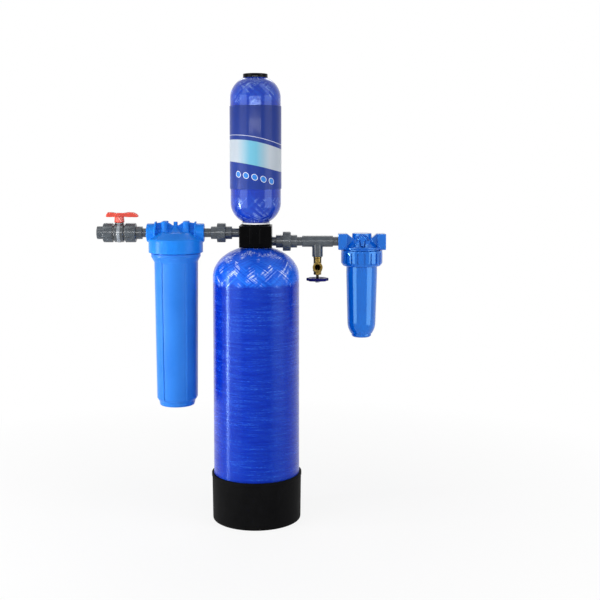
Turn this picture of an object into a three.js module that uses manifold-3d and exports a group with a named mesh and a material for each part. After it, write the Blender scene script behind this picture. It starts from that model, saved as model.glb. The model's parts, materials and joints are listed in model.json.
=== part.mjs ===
// Whole house water filter. A tall main tank in a base boot carries a square manifold with a
// smaller upper tank on top. A shut-off valve and a prefilter hang on the manifold's left port,
// a drain tee and a post filter on its right port.
// Millimetres, +Z up, front towards -Y. The origin is on the floor, on the main tank's axis.

import * as THREE from "three";
import { mergeVertices } from "three/addons/utils/BufferGeometryUtils.js";
import Module from "manifold-3d";

const wasm = await Module();
wasm.setup();

// Clearance between pieces that touch, clearance round plain threads that turn in each other,
// and how far a cut runs past the face it opens
const GAP = 0.3;
const THREAD_GAP = 1;
const OVERRUN = 3;

// Facets
const TANK_SIDES = 20;
const HOUSING_SIDES = 20;
const PIPE_SIDES = 16;
const SMALL_SIDES = 8;
const RING_SIDES = 4;
const DOME_STEPS = 4;
const LOBE_POINTS = 4;

// Main tank: fibreglass winding over a moulded liner
const TANK_R = 128.5;
const TANK_BODY_H = 638.3;
const TANK_DOME_H = 91;
const TANK_WALL = 6.5;
const TANK_NECK_R = 45;
const TANK_NECK_LIP = 0.4;
const TANK_NECK_WALL = 3;
const TANK_THREAD_R = 37;
const TANK_THREAD_H = 26;

// Base boot
const BOOT_WALL = 5.2;
const BOOT_H = 141.6;
const BOOT_FLOOR = 5;
const BOOT_EDGE = 4;
const BOOT_RIM_H = 9;
const BOOT_RIM_OUT = 1.3;
const BOOT_SEAT_R = 83;
const BOOT_SEAT_W = 6;

// Inside the main tank
const RISER_R = 13.3;
const RISER_BORE = 10.5;
const BASKET_R = 28;
const BASKET_H = 54;
const BASKET_WALL = 4;
const BASKET_SOCKET_H = 16;
const BASKET_SLOTS = 6;
const BASKET_SLOT_W = 3;
const BASKET_SLOT_H = 26;
const GRAVEL_OVER = 4;
const BED_TOP_BELOW_SHOULDER = 130;

// Manifold block
const MANIFOLD_W = 96;
const MANIFOLD_H = 63.4;
const MANIFOLD_CORNER = 5;
const MANIFOLD_FOOT_R = 46.5;
const MANIFOLD_FOOT_H = 2.5;
const MANIFOLD_BOSS_H = 24;
const MANIFOLD_COLLAR_R = 44;
const MANIFOLD_COLLAR_H = 3.4;
const MANIFOLD_PORT_BORE = 7.5;
const MANIFOLD_RETURN_R = 6.5;
const MANIFOLD_RETURN_Y = 24;
const MANIFOLD_RISER_SEAT_H = 7;
const MANIFOLD_RECESS_H = 15;
const MANIFOLD_RIB_W = 3.2;
const MANIFOLD_RIB_H = 42;
const MANIFOLD_RIB_OUT = 1.2;
const MANIFOLD_RIB_PITCH = 28;
const INLET_PORT_UP = 41;
const OUTLET_PORT_UP = 15.5;
const LOWER_RISER_IN = 9;

// Neck adapter between the manifold and the upper tank
const ADAPTER_R = 42;
const ADAPTER_H = 4.5;
const ADAPTER_LOWER_R = 33;
const ADAPTER_LOWER_H = 12;
const ADAPTER_UPPER_R = 27.5;
const ADAPTER_UPPER_H = 20;
const ADAPTER_BORE = 20;

// Upper tank
const UPPER_R = 74.5;
const UPPER_BODY_H = 308.4;
const UPPER_DOME_H = 66;
const UPPER_WALL = 5.4;
const UPPER_NECK_R = 36.6;
const UPPER_NECK_LIP = 0.4;
const UPPER_NECK_WALL = 4.8;
const UPPER_THREAD_H = 27;
const UPPER_BED_H = 270;
const UPPER_RISER_BELOW_SHOULDER = 8;
const STRAINER_H = 6;
const STRAINER_HOLES = 6;
const STRAINER_HOLE_R = 2.2;
const SLEEVE_T = 1.4;
const SLEEVE_H = 242.4;
const SLEEVE_UP = 41.5;
const CAP_R = 36.4;
const CAP_H = 11.6;
const CAP_EDGE = 1.6;
const CAP_PLUG_H = 22;

// Pipe, sockets and unions of both lines
const PIPE_R = 13.6;
const PIPE_BORE = 9.7;
const SOCKET_DEPTH = 15;
const HUB_R = 19.2;
const HUB_EDGE = 1;
const THREAD_R = 24.9;
const LIP = 5;
const FLANGE = 4;
const FLANGE_IN = 1.6;
const NUT_R = 28.7;
const NUT_RIBS = 12;
const NUT_RIB_H = 1.5;
const NUT_RIB_SHARE = 0.45;
const NUT_LIP_CHAMFER = 4.5;
const NUT_OPEN_CHAMFER = 1.2;
const ORING = 1.3;
const ORING_SEAT_R = 16.4;

// Visible lengths along the left line, from the manifold outwards
const LEFT_NIPPLE = 22.6;
const LEFT_TAIL = 18.5;
const LEFT_NUT = 25.5;
const LEFT_THREADED = 18.4;
const PREFILTER_NIPPLE = 20;
const PREFILTER_W = 170.5;
const VALVE_NIPPLE = 13;
const VALVE_CONNECTOR = 18.7;
const OUTLET_NUT = 30.9;
const VALVE_NECKS = 38;
const INLET_NUT = 28.2;

// Visible lengths along the right line
const RIGHT_NIPPLE = 11.6;
const RIGHT_THREADED = 20.3;
const RIGHT_NUT = 24;
const RIGHT_TAIL = 18.8;
const TEE_NIPPLE = 14.3;
const TEE_W = 92;
const POST_NIPPLE = 15;
const POST_W = 141.5;

// Shut-off valve
const VALVE_NECK_R = 23.5;
const VALVE_BULGE_R = 28.3;
const VALVE_BULGE_W = 28;
const VALVE_BULGE_EDGE = 3;
const VALVE_BAND_W = 9;
const VALVE_BAND_OUT = 1;
const BALL_R = 16;
const SEAT_R = 19.7;
const SEAT_IN = 10.5;
const SEAT_W = 7;
const SEAT_BORE = 10.3;
const SEAT_LEAN = 2.3;
const TOWER_R = 13.2;
const TOWER_UP = 30.6;
const STEM_R = 6;
const TANG_W = 6;
const TANG_H = 5;
const STEM_ORING = 0.8;
const STEM_ORING_UP = 25.5;
const HANDLE_HUB_R = 15.3;
const HANDLE_HUB_H = 18;
const HANDLE_HUB_TAPER = 1.6;
const HANDLE_SOCKET_H = 18;
const HANDLE_LONG = 58;
const HANDLE_SHORT = 40;
const HANDLE_BAR_H = 15.4;
const HANDLE_BAR_DROP = 2.8;
const HANDLE_BAR_W = 13;
const HANDLE_BEVEL = 2.4;

// Prefilter
const PRE_PORT_R = 27.7;
const PRE_PORT_W = 24;
const PRE_PORT_EDGE = 3;
const PRE_SADDLE_R = 13.5;
const PRE_WEB_UP = 20;
const PRE_WEB_W = 7;
const PRE_FIN_R = 33.4;
const PRE_FIN_W = 4.4;
const PRE_FIN_TOP = 14;
const PRE_SKIRT_R = 80.5;
const PRE_SKIRT_H = 40.4;
const PRE_SKIRT_DROP = 58.4;
const PRE_SKIRT_EDGE = 3;
const PRE_CROWN_R = 46;
const PRE_CROWN_H = 20;
const PRE_BOSS_R = 8.6;
const PRE_BOSS_X = 31.5;
const PRE_BOSS_Y = 15;
const PRE_BOSS_UP = 34.6;
const PRE_SCREW_R = 2.6;
const PRE_SCREW_H = 12;
const PRE_NUB_R = 6.2;
const PRE_NUB_UP = 33;
const PRE_THREAD_R = 70.5;
const PRE_THREAD_H = 34;
const PRE_ROOF_H = 4;
const PRE_CHAMBER_R = 58;
const PRE_CHAMBER_H = 5;
const PRE_INLET_OFF = 36;
const PRE_SEAT_R = 17;
const PRE_SEAT_H = 10;
const SUMP_FLANGE_R = 73.3;
const SUMP_FLANGE_H = 9;
const SUMP_CONE_H = 17;
const SUMP_TOP_R = 64;
const SUMP_LOW_R = 60;
const SUMP_BODY_H = 410;
const SUMP_STEP_H = 9;
const SUMP_FOOT_R = 54;
const SUMP_FOOT_LOW_R = 51.3;
const SUMP_FOOT_H = 13;
const SUMP_WALL = 5;
const SUMP_FLOOR = 8;
const SUMP_RIBS = 5;
const SUMP_RIB_W = 7;
const SUMP_RIB_OUT = 1.8;
const SUMP_ORING = 1.9;
const SUMP_ORING_R = 67.3;
const SUMP_PILOT_R = 11;
const SUMP_PILOT_H = 7;
const CARTRIDGE_R = 31.5;
const CARTRIDGE_BORE = 12.7;

// Drain tee and drain valve
const TEE_R = 16.9;
const TEE_BRANCH_R = 16.1;
const TEE_BRANCH_DROP = 45.8;
const TEE_THREAD_R = 10.5;
const TEE_THREAD_H = 16;
const DRAIN_BARREL_R = 12.6;
const DRAIN_BARREL_H = 43.4;
const DRAIN_BORE = 6;
const DRAIN_CHAMBER_R = 9.2;
const DRAIN_SEAT_DOWN = 11;
const DRAIN_SPOUT_DOWN = 28.2;
const DRAIN_SPOUT_R = 13.2;
const DRAIN_SPOUT_LIP_R = 14.9;
const DRAIN_SPOUT_LIP_W = 4;
const DRAIN_SPOUT_LENGTH = 36;
const DRAIN_SPOUT_BORE = 9;
const PACKING_R = 11.6;
const PACKING_H = 10;
const PACKING_SHANK_R = 8.6;
const PACKING_SHANK_H = 7;
const PACKING_SIDES = 6;
const DISC_R = 8.2;
const DISC_H = 4.5;
const DRAIN_STEM_R = 4.2;
const STEM_TO_WHEEL = 9.5;
const WHEEL_R = 33;
const WHEEL_T = 8.6;
const WHEEL_LOBES = 8;
const WHEEL_LOBE_DEPTH = 3.4;
const WHEEL_BEVEL = 2;
const WHEEL_HUB_R = 9;
const WHEEL_HUB_H = 11;
const WHEEL_WINDOWS = 4;
const WHEEL_WINDOW_R = 5.2;
const WHEEL_WINDOW_OUT = 17.5;
const WHEEL_SCREW_R = 6.1;
const WHEEL_SCREW_H = 2.6;
const WHEEL_SCREW_SHANK_R = 1.8;
const WHEEL_SCREW_SHANK_H = 7;

// Post filter
const POST_PORT_DROP = 24.4;
const POST_PORT_RISE = 23.4;
const POST_PORT_D = 46;
const POST_BRIDGE_D = 30;
const POST_PORT_FLAT = 26.5;
const POST_PORT_SLOPE = 15;
const POST_SADDLE_DROP = 12.6;
const POST_CROWN_R = 28.6;
const POST_CROWN_ROOT_R = 29.5;
const POST_CROWN_RISE = 24.6;
const POST_CONE_R = 48;
const POST_CONE_H = 22;
const POST_RIM_R = 59;
const POST_RIM_H = 3.6;
const POST_RIM_DROP = 19.6;
const POST_UNDER_R = 55;
const POST_UNDER_H = 1.4;
const POST_NECK_R = 53.9;
const POST_NECK_BORE = 48.3;
const POST_NECK_H = 32.5;
const POST_ROOF_H = 5;
const POST_INLET_OFF = 26;
const POST_SEAT_R = 15;
const POST_SEAT_H = 8;
const POST_HOOD_R = 21;
const POST_HOOD_Y = 37;
const POST_HOOD_UP = 1;
const POST_ARCH_R = 19.5;
const POST_ARCH_W = 4;
const POST_ARCH_IN = 5;
const POST_ARCH_LOW = 3;
const POST_PLUG_TOP = 6;
const POST_PLUG_LOW = -11;
const POST_PLUG_TOP_W = 13;
const POST_PLUG_LOW_W = 8;
const POST_SLIT_W = 3.4;
const POST_SLIT_Y = 31;
const RING_R = 61.5;
const RING_H = 46.8;
const RING_RIBS = 20;
const RING_RIB_H = 3.2;
const RING_RIB_SHARE = 0.52;
const RING_BAND_H = 6;
const RING_ROUND = 9;
const RING_ROUND_IN = 6;
const RING_LIP_H = 8;
const BOWL_FLANGE_H = 6;
const BOWL_SPIGOT_R = 48;
const BOWL_SPIGOT_H = 19;
const BOWL_TOP_R = 46;
const BOWL_LOW_R = 42.2;
const BOWL_NECK_H = 35;
const BOWL_TAPER_H = 137;
const BOWL_ROUND_H = 38;
const BOWL_FOOT_R = 29.5;
const BOWL_FOOT_H = 11.3;
const BOWL_FOOT_EDGE = 3;
const BOWL_WALL = 4;
const BOWL_FLOOR = 6;
const BOWL_ORING = 1.4;
const BOWL_ORING_DOWN = 7;
const BOWL_SEAT_UP = 12;
const BOWL_SEAT_R = 20;
const BOWL_PILOT_R = 11;
const BOWL_PILOT_H = 6;

// Shapes drawn by hand, as shares of the sizes that they follow
const HANDLE_LONG_SHARES = [
  [0.2, 0.1], [0.45, 0.02], [0.92, 0], [1, 0.14], [0.93, 0.62], [0.74, 0.95], [0.5, 1], [0.22, 0.84],
];
const HANDLE_SHORT_SHARES = [
  [0.25, 0.86], [0.5, 0.98], [0.84, 0.98], [0.94, 0.6], [1, 0.16], [0.92, 0.02], [0.5, 0.04],
];
const BOWL_ROUND_SHARES = [[0.985, 0.68], [0.94, 0.42], [0.86, 0.2], [0.76, 0]];

// Finishes
const BOOT_BLACK = { color: 0x141416, roughness: 0.8, metalness: 0 };
const MOULDED_BLACK = { color: 0x0e0e10, roughness: 0.55, metalness: 0 };
const GLOSS_BLACK = { color: 0x0a0a0c, roughness: 0.15, metalness: 0 };
const TANK_BLUE = { color: 0x1526c8, roughness: 0.3, metalness: 0 };
const UPPER_BLUE = { color: 0x1c3fc4, roughness: 0.25, metalness: 0 };
const SLEEVE_BLUE = { color: 0x14389c, roughness: 0.35, metalness: 0 };
const SUMP_BLUE = { color: 0x2f7fe4, roughness: 0.45, metalness: 0 };
const POST_BLUE = { color: 0x1a6ad8, roughness: 0.2, metalness: 0 };
const PVC_GREY = { color: 0x4a5258, roughness: 0.45, metalness: 0 };
const HANDLE_RED = { color: 0xf04a28, roughness: 0.4, metalness: 0 };
const BRASS = { color: 0xb8923c, roughness: 0.3, metalness: 1 };
const WHEEL_NAVY = { color: 0x1a1a6e, roughness: 0.4, metalness: 0 };
const STEEL = { color: 0x9a9ca0, roughness: 0.35, metalness: 1 };
const RUBBER = { color: 0x101010, roughness: 0.9, metalness: 0 };
const NATURAL_WHITE = { color: 0xf0f0ee, roughness: 0.5, metalness: 0 };
const CARTRIDGE_WHITE = { color: 0xe8e6de, roughness: 0.9, metalness: 0 };
const CARBON = { color: 0x222222, roughness: 0.95, metalness: 0 };
const GRAVEL = { color: 0x8c8478, roughness: 0.95, metalness: 0 };

// Vertices closer than this are one vertex
const WELD = 0.0001;

// Closed mesh as a solid that can be joined and cut
function solid(geometry) {
  const bare = geometry.clone();
  for (const name of Object.keys(bare.attributes)) {
    if (name !== "position") bare.deleteAttribute(name);
  }
  const welded = mergeVertices(bare, WELD);
  const corners = welded.index.array;
  const kept = [];
  for (let i = 0; i < corners.length; i += 3) {
    const [a, b, c] = corners.slice(i, i + 3);
    if (a !== b && b !== c && c !== a) kept.push(a, b, c);
  }
  const vertProperties = new Float32Array(welded.attributes.position.array);
  return new wasm.Manifold(new wasm.Mesh({ numProp: 3, vertProperties, triVerts: new Uint32Array(kept) }));
}

const asSolid = (item) => (item.isBufferGeometry ? solid(item) : item);
const join = (...items) => items.map(asSolid).reduce((all, one) => all.add(one));
const common = (one, other) => asSolid(one).intersect(asSolid(other));
const cut = (base, ...tools) =>
  tools.map(asSolid).reduce((rest, tool) => rest.subtract(tool), asSolid(base));

function surface(item) {
  const mesh = asSolid(item).getMesh();
  const geometry = new THREE.BufferGeometry();
  geometry.setAttribute("position", new THREE.BufferAttribute(mesh.vertProperties, 3));
  geometry.setIndex(new THREE.BufferAttribute(mesh.triVerts, 1));
  geometry.computeVertexNormals();
  return geometry;
}

function piece(parent, name, item, finish) {
  const mesh = new THREE.Mesh(surface(item), new THREE.MeshStandardMaterial(finish));
  mesh.name = name;
  parent.add(mesh);
  return mesh;
}

// A profile of [radius, height] points turned about Z. It starts and ends on the axis, or is
// closed to a ring here.
function turned(profile, sides) {
  const points = profile.map(([r, z]) => new THREE.Vector2(Math.max(r, 0), z));
  const onAxis = points[0].x < WELD && points[points.length - 1].x < WELD;
  if (!onAxis) points.push(points[0].clone());
  const area = points.reduce((sum, p, i) => sum + p.cross(points[(i + 1) % points.length]), 0);
  if (area < 0) points.reverse();
  return new THREE.LatheGeometry(points, sides).rotateX(Math.PI / 2);
}

const bar = (r, from, to, sides) => turned([[0, from], [r, from], [r, to], [0, to]], sides);
const tube = (r, bore, from, to, sides) => turned([[bore, from], [r, from], [r, to], [bore, to]], sides);
const alongX = (geometry) => geometry.rotateY(Math.PI / 2);
const towardsFront = (geometry) => geometry.rotateX(Math.PI / 2);
const oring = (seatR, thick, z, sides) =>
  new THREE.TorusGeometry(seatR, thick, RING_SIDES, sides).translate(0, 0, z);

// Points on an ellipse about (0, z) from one radius to another, above it (up = 1) or below (up = -1)
function dome(a, b, z, fromR, toR, up) {
  const start = Math.acos(Math.min(fromR / a, 1));
  const end = Math.acos(Math.min(toR / a, 1));
  return Array.from({ length: DOME_STEPS + 1 }, (_, i) => {
    const angle = start + ((end - start) * i) / DOME_STEPS;
    return [a * Math.cos(angle), z + up * b * Math.sin(angle)];
  });
}

const domeRise = (a, b, r) => b * Math.sqrt(1 - (r / a) ** 2);

// Where a rising line of [radius, height] points reaches a radius (axis 0) or a height (axis 1)
function crossing(points, axis, value) {
  const next = points.findIndex((point, i) => i > 0 && point[axis] >= value);
  const [from, to] = [points[next - 1], points[next]];
  const share = (value - from[axis]) / (to[axis] - from[axis]);
  return [from[0] + (to[0] - from[0]) * share, from[1] + (to[1] - from[1]) * share];
}

// The stretch of such a line between two heights, and the line moved in from a vessel's wall
const stretch = (points, low, high) => [
  crossing(points, 1, low),
  ...points.filter(([, z]) => z > low && z < high),
  crossing(points, 1, high),
];
const inset = (points) => points.map(([r, z], i) => [
  Math.max(r - GAP, 0), i === points.length - 1 ? z : z + GAP]);

// A straight-sided outline pushed along Z
function prism(points, from, to) {
  const outline = new THREE.Shape(points.map(([x, y]) => new THREE.Vector2(x, y)));
  const sides = { depth: to - from, bevelEnabled: false };
  return new THREE.ExtrudeGeometry(outline, sides).translate(0, 0, from);
}

// A bar with ribs all round, along Z
function ribbed(tipR, ribHeight, count, ribShare, from, to) {
  const pitch = (2 * Math.PI) / count;
  const rootR = tipR - ribHeight;
  const slant = Math.atan(ribHeight / rootR) / 2;
  const points = [];
  for (let i = 0; i < count; i += 1) {
    const middle = i * pitch;
    const reach = (pitch * ribShare) / 2;
    for (const [r, angle] of [
      [rootR, middle - reach - slant], [tipR, middle - reach],
      [tipR, middle + reach], [rootR, middle + reach + slant],
    ]) points.push([r * Math.cos(angle), r * Math.sin(angle)]);
  }
  return prism(points, from, to);
}

// Ribs standing out of a turned body: a profile of [radius, height] points, thickened and turned
function blade(points, width, angle) {
  return prism(points, -width / 2, width / 2).rotateX(Math.PI / 2).rotateZ(angle);
}

const system = new THREE.Group();

// Heights, from the floor up
const tankLowZ = BOOT_FLOOR + GAP + TANK_DOME_H;
const tankHighZ = tankLowZ + TANK_BODY_H;
const tankTopZ = tankHighZ + domeRise(TANK_R, TANK_DOME_H, TANK_NECK_R) + TANK_NECK_LIP;
const footZ = tankTopZ + GAP;
const blockZ = footZ + MANIFOLD_FOOT_H;
const blockTopZ = blockZ + MANIFOLD_H;
const collarTopZ = blockTopZ + MANIFOLD_COLLAR_H;
const adapterZ = collarTopZ + GAP;
const adapterTopZ = adapterZ + ADAPTER_H;
const upperZ = adapterTopZ + GAP;
const upperLowZ = upperZ + UPPER_NECK_LIP + domeRise(UPPER_R, UPPER_DOME_H, UPPER_NECK_R);
const upperHighZ = upperLowZ + UPPER_BODY_H;
const upperTopZ = upperHighZ + (upperLowZ - upperZ);
const inletZ = blockZ + INLET_PORT_UP;
const outletZ = blockZ + OUTLET_PORT_UP;

// Base boot

const bootInR = TANK_R + GAP;
const bootR = bootInR + BOOT_WALL;
const bootRimR = bootR + BOOT_RIM_OUT;
const seatTopZ = (r) => tankLowZ - domeRise(TANK_R, TANK_DOME_H, r) - GAP;
piece(system, "base_boot", turned([
  [0, 0],
  [bootR - BOOT_EDGE, 0],
  [bootR, BOOT_EDGE],
  [bootR, BOOT_H - BOOT_RIM_H - BOOT_RIM_OUT],
  [bootRimR, BOOT_H - BOOT_RIM_H],
  [bootRimR, BOOT_H - BOOT_RIM_OUT],
  [bootR, BOOT_H],
  [bootInR, BOOT_H],
  [bootInR, BOOT_FLOOR],
  [BOOT_SEAT_R, BOOT_FLOOR],
  [BOOT_SEAT_R, seatTopZ(BOOT_SEAT_R)],
  [BOOT_SEAT_R - BOOT_SEAT_W, seatTopZ(BOOT_SEAT_R - BOOT_SEAT_W)],
  [BOOT_SEAT_R - BOOT_SEAT_W, BOOT_FLOOR],
  [0, BOOT_FLOOR],
], TANK_SIDES), BOOT_BLACK);

// Main tank

const tankInR = TANK_R - TANK_WALL;
const tankInDomeH = TANK_DOME_H - TANK_WALL;
const neckBoreR = TANK_THREAD_R + GAP;
const neckSleeveR = neckBoreR + TANK_NECK_WALL;
const tankFloor = dome(tankInR, tankInDomeH, tankLowZ, 0, tankInR, -1);
piece(system, "main_tank", turned([
  ...dome(TANK_R, TANK_DOME_H, tankLowZ, 0, TANK_R, -1),
  ...dome(TANK_R, TANK_DOME_H, tankHighZ, TANK_R, TANK_NECK_R, 1),
  [TANK_NECK_R, tankTopZ],
  [neckBoreR, tankTopZ],
  [neckBoreR, tankTopZ - TANK_THREAD_H],
  [neckSleeveR, tankTopZ - TANK_THREAD_H],
  ...dome(tankInR, tankInDomeH, tankHighZ, neckSleeveR, tankInR, 1),
  ...tankFloor.slice().reverse(),
], TANK_SIDES), TANK_BLUE);

const bedTopZ = tankHighZ - BED_TOP_BELOW_SHOULDER;
const bedSide = inset([...tankFloor, [tankInR, tankHighZ]]);
const basketCorner = crossing(bedSide, 0, BASKET_R);
const basketZ = bedSide[0][1];
const basketTopZ = basketZ + BASKET_H;
const basketSocketZ = basketTopZ - BASKET_SOCKET_H;
const basketFloorZ = basketCorner[1] + BASKET_WALL;
const slotZ = basketFloorZ + BASKET_WALL;
const basketSlots = Array.from({ length: BASKET_SLOTS }, (_, i) =>
  new THREE.BoxGeometry(BASKET_R, BASKET_SLOT_W, BASKET_SLOT_H)
    .translate(BASKET_R, 0, slotZ + BASKET_SLOT_H / 2)
    .rotateZ((2 * Math.PI * i) / BASKET_SLOTS));
piece(system, "bottom_distributor", cut(turned([
  [0, basketZ],
  ...stretch(bedSide, basketZ, basketCorner[1]),
  [BASKET_R, basketTopZ],
  [RISER_R + GAP, basketTopZ],
  [RISER_R + GAP, basketSocketZ],
  [RISER_BORE, basketSocketZ],
  [RISER_BORE, basketSocketZ - BASKET_WALL],
  [BASKET_R - BASKET_WALL, basketSocketZ - BASKET_WALL],
  [BASKET_R - BASKET_WALL, basketFloorZ],
  [0, basketFloorZ],
], TANK_SIDES), ...basketSlots), NATURAL_WHITE);

const gravelTopZ = basketTopZ + GRAVEL_OVER;
const gravelInR = BASKET_R + GAP;
piece(system, "gravel_bed", turned([
  ...stretch(bedSide, crossing(bedSide, 0, gravelInR)[1], gravelTopZ),
  [RISER_R + GAP, gravelTopZ],
  [RISER_R + GAP, basketTopZ + GAP],
  [gravelInR, basketTopZ + GAP],
], TANK_SIDES), GRAVEL);
const bedZ = gravelTopZ + GAP;
piece(system, "main_media_bed", turned([
  [RISER_R + GAP, bedZ],
  ...stretch(bedSide, bedZ, bedTopZ),
  [RISER_R + GAP, bedTopZ],
], TANK_SIDES), CARBON);
const mainRiserTopZ = footZ + LOWER_RISER_IN;
piece(system, "main_riser_tube",
  tube(RISER_R, RISER_BORE, basketSocketZ + GAP, mainRiserTopZ - GAP, SMALL_SIDES), NATURAL_WHITE);

// Manifold block: water enters on the left, rises through the upper riser, comes back down round
// it, passes the two return bores into the main tank, and leaves through the lower riser on the right

const faceX = MANIFOLD_W / 2;
const cornerX = faceX - MANIFOLD_CORNER;
const recessZ = collarTopZ - MANIFOLD_RECESS_H;
const bossZ = footZ - MANIFOLD_BOSS_H;
const socketR = PIPE_R + GAP;
const upperRiserZ = recessZ - MANIFOLD_RISER_SEAT_H;
const portBore = (z, side) => join(
  alongX(bar(MANIFOLD_PORT_BORE, 0, side * (faceX + OVERRUN), SMALL_SIDES)),
  alongX(bar(socketR, side * (faceX - SOCKET_DEPTH), side * (faceX + OVERRUN), PIPE_SIDES)),
).translate([0, 0, z]);
const manifoldRibs = [-1, 1].flatMap((front) => [-1, 1].map((side) =>
  new THREE.BoxGeometry(MANIFOLD_RIB_W, MANIFOLD_RIB_OUT * 2, MANIFOLD_RIB_H)
    .translate((side * MANIFOLD_RIB_PITCH) / 2, front * faceX, blockZ + MANIFOLD_H / 2)));
piece(system, "manifold_block", cut(
  join(
    prism([
      [-faceX, -cornerX], [-cornerX, -faceX], [cornerX, -faceX], [faceX, -cornerX],
      [faceX, cornerX], [cornerX, faceX], [-cornerX, faceX], [-faceX, cornerX],
    ], blockZ, blockTopZ),
    bar(MANIFOLD_FOOT_R, footZ, blockZ + MANIFOLD_FOOT_H, TANK_SIDES),
    bar(TANK_THREAD_R, bossZ, blockZ, TANK_SIDES),
    bar(MANIFOLD_COLLAR_R, blockTopZ - MANIFOLD_COLLAR_H, collarTopZ, TANK_SIDES),
    ...manifoldRibs,
  ),
  portBore(inletZ, -1),
  portBore(outletZ, 1),
  bar(RISER_BORE, inletZ, recessZ, SMALL_SIDES),
  bar(RISER_R + GAP, upperRiserZ, recessZ + OVERRUN, SMALL_SIDES),
  bar(ADAPTER_LOWER_R + GAP, recessZ, collarTopZ + OVERRUN, TANK_SIDES),
  bar(RISER_BORE, mainRiserTopZ - OVERRUN, outletZ, SMALL_SIDES),
  bar(RISER_R + GAP, bossZ - OVERRUN, mainRiserTopZ, SMALL_SIDES),
  tube(neckSleeveR + GAP, TANK_THREAD_R, footZ - GAP / 2, footZ + 2 * ORING, TANK_SIDES),
  ...[-1, 1].map((side) => bar(MANIFOLD_RETURN_R, bossZ - OVERRUN, recessZ + OVERRUN, SMALL_SIDES)
    .translate(0, side * MANIFOLD_RETURN_Y, 0)),
), MOULDED_BLACK);
piece(system, "tank_neck_oring",
  oring(TANK_THREAD_R + GAP + ORING, ORING, tankTopZ + GAP + ORING - GAP / 2, TANK_SIDES), RUBBER);

// Neck adapter and upper tank

piece(system, "neck_adapter", turned([
  [ADAPTER_BORE, adapterZ - ADAPTER_LOWER_H],
  [ADAPTER_LOWER_R, adapterZ - ADAPTER_LOWER_H],
  [ADAPTER_LOWER_R, adapterZ],
  [ADAPTER_R, adapterZ],
  [ADAPTER_R, adapterTopZ],
  [ADAPTER_UPPER_R, adapterTopZ],
  [ADAPTER_UPPER_R, adapterTopZ + ADAPTER_UPPER_H],
  [ADAPTER_BORE, adapterTopZ + ADAPTER_UPPER_H],
], TANK_SIDES), NATURAL_WHITE);

const upperBoreR = ADAPTER_UPPER_R + GAP;
const upperSleeveR = upperBoreR + UPPER_NECK_WALL;
const upperInR = UPPER_R - UPPER_WALL;
const upperInDomeH = UPPER_DOME_H - UPPER_WALL;
const upperFloor = dome(upperInR, upperInDomeH, upperLowZ, upperSleeveR, upperInR, -1);
piece(system, "upper_tank_shell", turned([
  [upperBoreR, upperZ],
  [UPPER_NECK_R, upperZ],
  ...dome(UPPER_R, UPPER_DOME_H, upperLowZ, UPPER_NECK_R, UPPER_R, -1),
  ...dome(UPPER_R, UPPER_DOME_H, upperHighZ, UPPER_R, UPPER_NECK_R, 1),
  [UPPER_NECK_R, upperTopZ],
  [upperBoreR, upperTopZ],
  [upperBoreR, upperTopZ - UPPER_THREAD_H],
  [upperSleeveR, upperTopZ - UPPER_THREAD_H],
  ...dome(upperInR, upperInDomeH, upperHighZ, upperSleeveR, upperInR, 1),
  ...upperFloor.slice().reverse(),
  [upperSleeveR, upperZ + UPPER_THREAD_H],
  [upperBoreR, upperZ + UPPER_THREAD_H],
], TANK_SIDES), UPPER_BLUE);

const sleeveZ = upperLowZ + SLEEVE_UP;
piece(system, "upper_tank_label",
  tube(UPPER_R + GAP + SLEEVE_T, UPPER_R + GAP, sleeveZ, sleeveZ + SLEEVE_H, TANK_SIDES), SLEEVE_BLUE);

const strainerZ = adapterTopZ + ADAPTER_UPPER_H + GAP;
const strainerHoleR = (RISER_R + ADAPTER_UPPER_R) / 2;
const strainerHoles = Array.from({ length: STRAINER_HOLES }, (_, i) =>
  bar(STRAINER_HOLE_R, strainerZ - OVERRUN, strainerZ + STRAINER_H + OVERRUN, RING_SIDES)
    .translate(strainerHoleR, 0, 0)
    .rotateZ((2 * Math.PI * i) / STRAINER_HOLES));
piece(system, "upper_strainer", cut(
  tube(ADAPTER_UPPER_R, RISER_R + GAP, strainerZ, strainerZ + STRAINER_H, TANK_SIDES),
  ...strainerHoles,
), NATURAL_WHITE);
piece(system, "upper_riser_tube",
  tube(RISER_R, RISER_BORE, upperRiserZ + GAP, upperHighZ - UPPER_RISER_BELOW_SHOULDER, SMALL_SIDES),
  NATURAL_WHITE);

const upperBedZ = Math.max(upperZ + UPPER_THREAD_H, strainerZ + STRAINER_H) + GAP;
const upperBedSide = inset([...upperFloor, [upperInR, upperHighZ]]);
piece(system, "upper_media_bed", turned([
  [RISER_R + GAP, upperBedZ],
  ...stretch(upperBedSide, upperBedZ, upperBedZ + UPPER_BED_H),
  [RISER_R + GAP, upperBedZ + UPPER_BED_H],
], TANK_SIDES), CARBON);

const capZ = upperTopZ + GAP;
const capOringR = ADAPTER_UPPER_R + GAP + ORING;
piece(system, "upper_tank_cap", turned([
  [0, capZ - CAP_PLUG_H],
  [ADAPTER_UPPER_R, capZ - CAP_PLUG_H],
  [ADAPTER_UPPER_R, capZ + 2 * ORING],
  [capOringR + ORING + GAP, capZ + 2 * ORING],
  [capOringR + ORING + GAP, capZ],
  [CAP_R, capZ],
  [CAP_R, capZ + CAP_H - CAP_EDGE],
  [CAP_R - CAP_EDGE, capZ + CAP_H],
  [0, capZ + CAP_H],
], TANK_SIDES), GLOSS_BLACK);
piece(system, "upper_cap_oring", oring(capOringR, ORING, capZ + ORING - GAP / 2, TANK_SIDES), RUBBER);

// Pieces of the two lines, turned about X: heights in their profiles are distances along X

const inletLine = new THREE.Group();
inletLine.position.z = inletZ;
inletLine.rotation.y = Math.PI / 2;
const outletLine = new THREE.Group();
outletLine.position.z = outletZ;
outletLine.rotation.y = Math.PI / 2;
system.add(inletLine, outletLine);

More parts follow.
